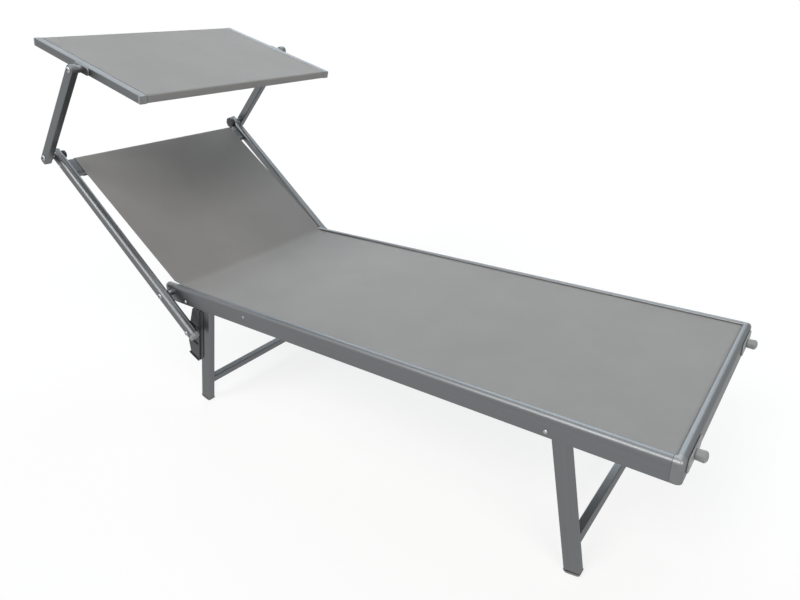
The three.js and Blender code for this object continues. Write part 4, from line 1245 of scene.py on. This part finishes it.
class LOUNGER_OT_canopy_cloth(Operator):
    """The canopy's mesh sheet, wrapped round its front and rear bars"""

    bl_idname = "lounger.canopy_cloth"
    bl_label = "Canopy mesh"

    def execute(self, context):
        scene = context.scene
        fabric, sizes = scene.lounger_fabric, scene.lounger_canopy
        thick = fabric.thickness
        front, rear = canopy_ends()
        half = sizes.bar / 2 - thick / 2
        radius = sizes.cross_edge + GAP + thick / 2
        inner = half - radius
        wrap = joined(
            arc(-inner, -inner, radius, np.pi, 1.5 * np.pi, 6),
            arc(inner, -inner, radius, 1.5 * np.pi, 2 * np.pi, 6),
            arc(inner, inner, radius, 0, np.pi / 2, 6),
        )
        path = joined(wrap + (front, 0), (wrap * (-1, 1))[::-1] + (rear, 0))
        path = resample(path)
        reach = bar_high.y - sizes.bar - fabric.slit
        sag = sagging((path[:, 0] - rear) / (front - rear), fabric.canopy_sag)
        sag = sag * (path[:, 1] > half - 0.0002)
        rings = cloth(CANOPY, path, np.full(len(path), reach), thick, sag)
        obj = piece("canopy", "mesh", ["canopy_fabric"], "canopy_mesh", rings, cloth=True)
        return {"FINISHED"}


# Finishes and stage


class LOUNGER_OT_node_finishes(Operator):
    """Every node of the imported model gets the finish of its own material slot"""

    bl_idname = "lounger.node_finishes"
    bl_label = "Node finishes"

    def execute(self, context):
        for entry in frame["record"]["subparts"]:
            obj = frame["nodes"][entry["node"]]
            obj.data.materials.clear()
            obj.data.materials.append(finish_for(entry["material_slot"]))
        return {"FINISHED"}


def seen_plain(tree, lit, plain, end, share):
    """Rays from the camera, off gloss and through clear things see the plain shader by the
    share. All others see the lit one."""
    ray = add(tree, "LightPath", {})
    shown = calculate(tree, "MAXIMUM", ray["Is Camera Ray"], ray["Is Glossy Ray"])
    shown = calculate(tree, "MAXIMUM", shown, ray["Is Transmission Ray"])
    share = calculate(tree, "MULTIPLY", shown, share)
    mix = add(tree, "MixShader", {0: share, 1: lit, 2: plain})
    feed(tree, tree.nodes[end], {"Surface": mix["Shader"]})


class LOUNGER_OT_stage(Operator):
    """Floor, light and camera"""

    bl_idname = "lounger.stage"
    bl_label = "Stage"

    def execute(self, context):
        scene = context.scene
        settings = scene.lounger_stage
        scene.view_settings.view_transform = "Standard"
        self.floor(settings.floor)
        self.sky(scene, settings.sky)
        warm, cool = (1.0, 0.98, 0.95), (0.83, 0.93, 1.0)
        for name, colour, toward, width in (
            ("key", warm, (0.62, -0.42, 0.66), 34),
            ("side", warm, (-0.14, -0.67, 0.73), 28),
            ("top", warm, (-0.25, -0.22, 0.94), 20),
            ("far", cool, (0.06, 0.48, 0.88), 28),
            ("back", cool, (-0.25, 0.8, 0.54), 30),
            ("end", cool, (-0.7, 0.57, 0.43), 30),
            ("head", cool, (-0.89, -0.03, 0.45), 22),
        ):
            self.lamp(name + "_light", getattr(settings, name), colour, toward, width)
        self.camera(scene, settings)
        return {"FINISHED"}

    def floor(self, colour):
        reach, below = 40.0, 0.0002
        mesh = bpy.data.meshes.new("floor")
        corners = [(x * reach, y * reach, -below) for x, y in ((-1, -1), (1, -1), (1, 1), (-1, 1))]
        mesh.from_pydata(corners, [], [[0, 1, 2, 3]])
        material, tree, shader, where = blank("Pale floor")
        faint = tones(tree, noise(tree, where["Object"], 3.0), colour, 0.985, 1.0)
        inputs = {"Base Color": faint, "Roughness": 0.8, "Specular IOR Level": 0.2}
        lit = feed(tree, shader, inputs)["BSDF"]
        glow = add(tree, "Emission", {})["Emission"]
        seen_plain(tree, lit, glow, "Material Output", 0.8)
        mesh.materials.append(material)
        new_object("floor", mesh)

    def sky(self, scene, strength):
        """White where the camera looks and in what metal shows, an even soft light elsewhere."""
        world = bpy.data.worlds.new("Studio")
        world.use_nodes = True
        scene.world = world
        tree = world.node_tree
        soft = {"Color": (0.98, 0.99, 1.0, 1.0), "Strength": strength}
        soft = feed(tree, tree.nodes["Background"], soft)["Background"]
        white = {"Color": (1.0, 1.0, 1.0, 1.0), "Strength": 1.0}
        white = add(tree, "Background", white)["Background"]
        seen_plain(tree, soft, white, "World Output", 1.0)

    def lamp(self, name, strength, colour, toward, width):
        """A sun lamp as wide as the angle in degrees, shining from the direction given."""
        light = bpy.data.lights.new(name, "SUN")
        light.energy = strength
        light.color = colour
        light.angle = math.radians(width)
        new_object(name, light).rotation_euler = Vector(toward).to_track_quat("Z", "Y").to_euler()

    def camera(self, scene, settings):
        """It looks down its own axis, which turns from straight down: by the roll about itself,
        up to the elevation, then by the azimuth about the upright."""
        data = bpy.data.cameras.new("photo_view")
        data.sensor_width = 36.0
        data.lens = settings.lens
        data.clip_end = 200.0
        turned = Matrix.Rotation(settings.azimuth, 4, "Z")
        turned @= Matrix.Rotation(math.pi / 2 - settings.elevation, 4, "X")
        turned @= Matrix.Rotation(settings.roll, 4, "Z")
        obj = new_object("photo_view", data)
        obj.matrix_world = Matrix.Translation(settings.place) @ turned
        scene.camera = obj


OPERATORS = (
    LOUNGER_OT_stage,
    LOUNGER_OT_frame,
    LOUNGER_OT_buffers,
    LOUNGER_OT_leg_hinges,
    LOUNGER_OT_legs,
    LOUNGER_OT_racks,
    LOUNGER_OT_backrest,
    LOUNGER_OT_hardware,
    LOUNGER_OT_knob,
    LOUNGER_OT_links,
    LOUNGER_OT_canopy_frame,
    LOUNGER_OT_sling,
    LOUNGER_OT_canopy_cloth,
    LOUNGER_OT_node_finishes,
)

GROUPS = {
    "lounger_frame": FrameSizes,
    "lounger_legs": LegSizes,
    "lounger_backrest": BackrestSizes,
    "lounger_canopy": CanopySizes,
    "lounger_fabric": FabricSizes,
    "lounger_finishes": Finishes,
    "lounger_stage": StageSettings,
}


class LOUNGER_PT_pieces(Panel):
    """Sizes, colours and pieces of the sun lounger"""

    bl_idname = "LOUNGER_PT_pieces"
    bl_label = "Sun lounger"
    bl_space_type = "VIEW_3D"
    bl_region_type = "UI"
    bl_category = "Lounger"

    def draw(self, context):
        for attribute, group in GROUPS.items():
            box = self.layout.box()
            box.label(text=attribute.split("_", 1)[1].capitalize())
            for name in group.__annotations__:
                box.prop(getattr(context.scene, attribute), name)
        for operator in OPERATORS:
            self.layout.operator(operator.bl_idname)


def register():
    for group in GROUPS.values():
        bpy.utils.register_class(group)
    for attribute, group in GROUPS.items():
        setattr(bpy.types.Scene, attribute, PointerProperty(type=group))
    for operator in OPERATORS:
        bpy.utils.register_class(operator)
    bpy.utils.register_class(LOUNGER_PT_pieces)


def unregister():
    bpy.utils.unregister_class(LOUNGER_PT_pieces)
    for operator in reversed(OPERATORS):
        bpy.utils.unregister_class(operator)
    for attribute in GROUPS:
        delattr(bpy.types.Scene, attribute)
    for group in GROUPS.values():
        bpy.utils.unregister_class(group)


def corners(box):
    return [[float(c) for c in corner] for corner in box]


def main():
    register()
    bpy.ops.lounger.stage()
    bpy.ops.lounger.frame()
    bpy.ops.lounger.buffers()
    bpy.ops.lounger.leg_hinges()
    bpy.ops.lounger.legs()
    bpy.ops.lounger.racks()
    bpy.ops.lounger.backrest()
    bpy.ops.lounger.hardware()
    bpy.ops.lounger.knob()
    bpy.ops.lounger.links()
    bpy.ops.lounger.canopy_frame()
    bpy.ops.lounger.sling()
    bpy.ops.lounger.canopy_cloth()
    bpy.ops.lounger.node_finishes()


if __name__ == "__main__":
    main()
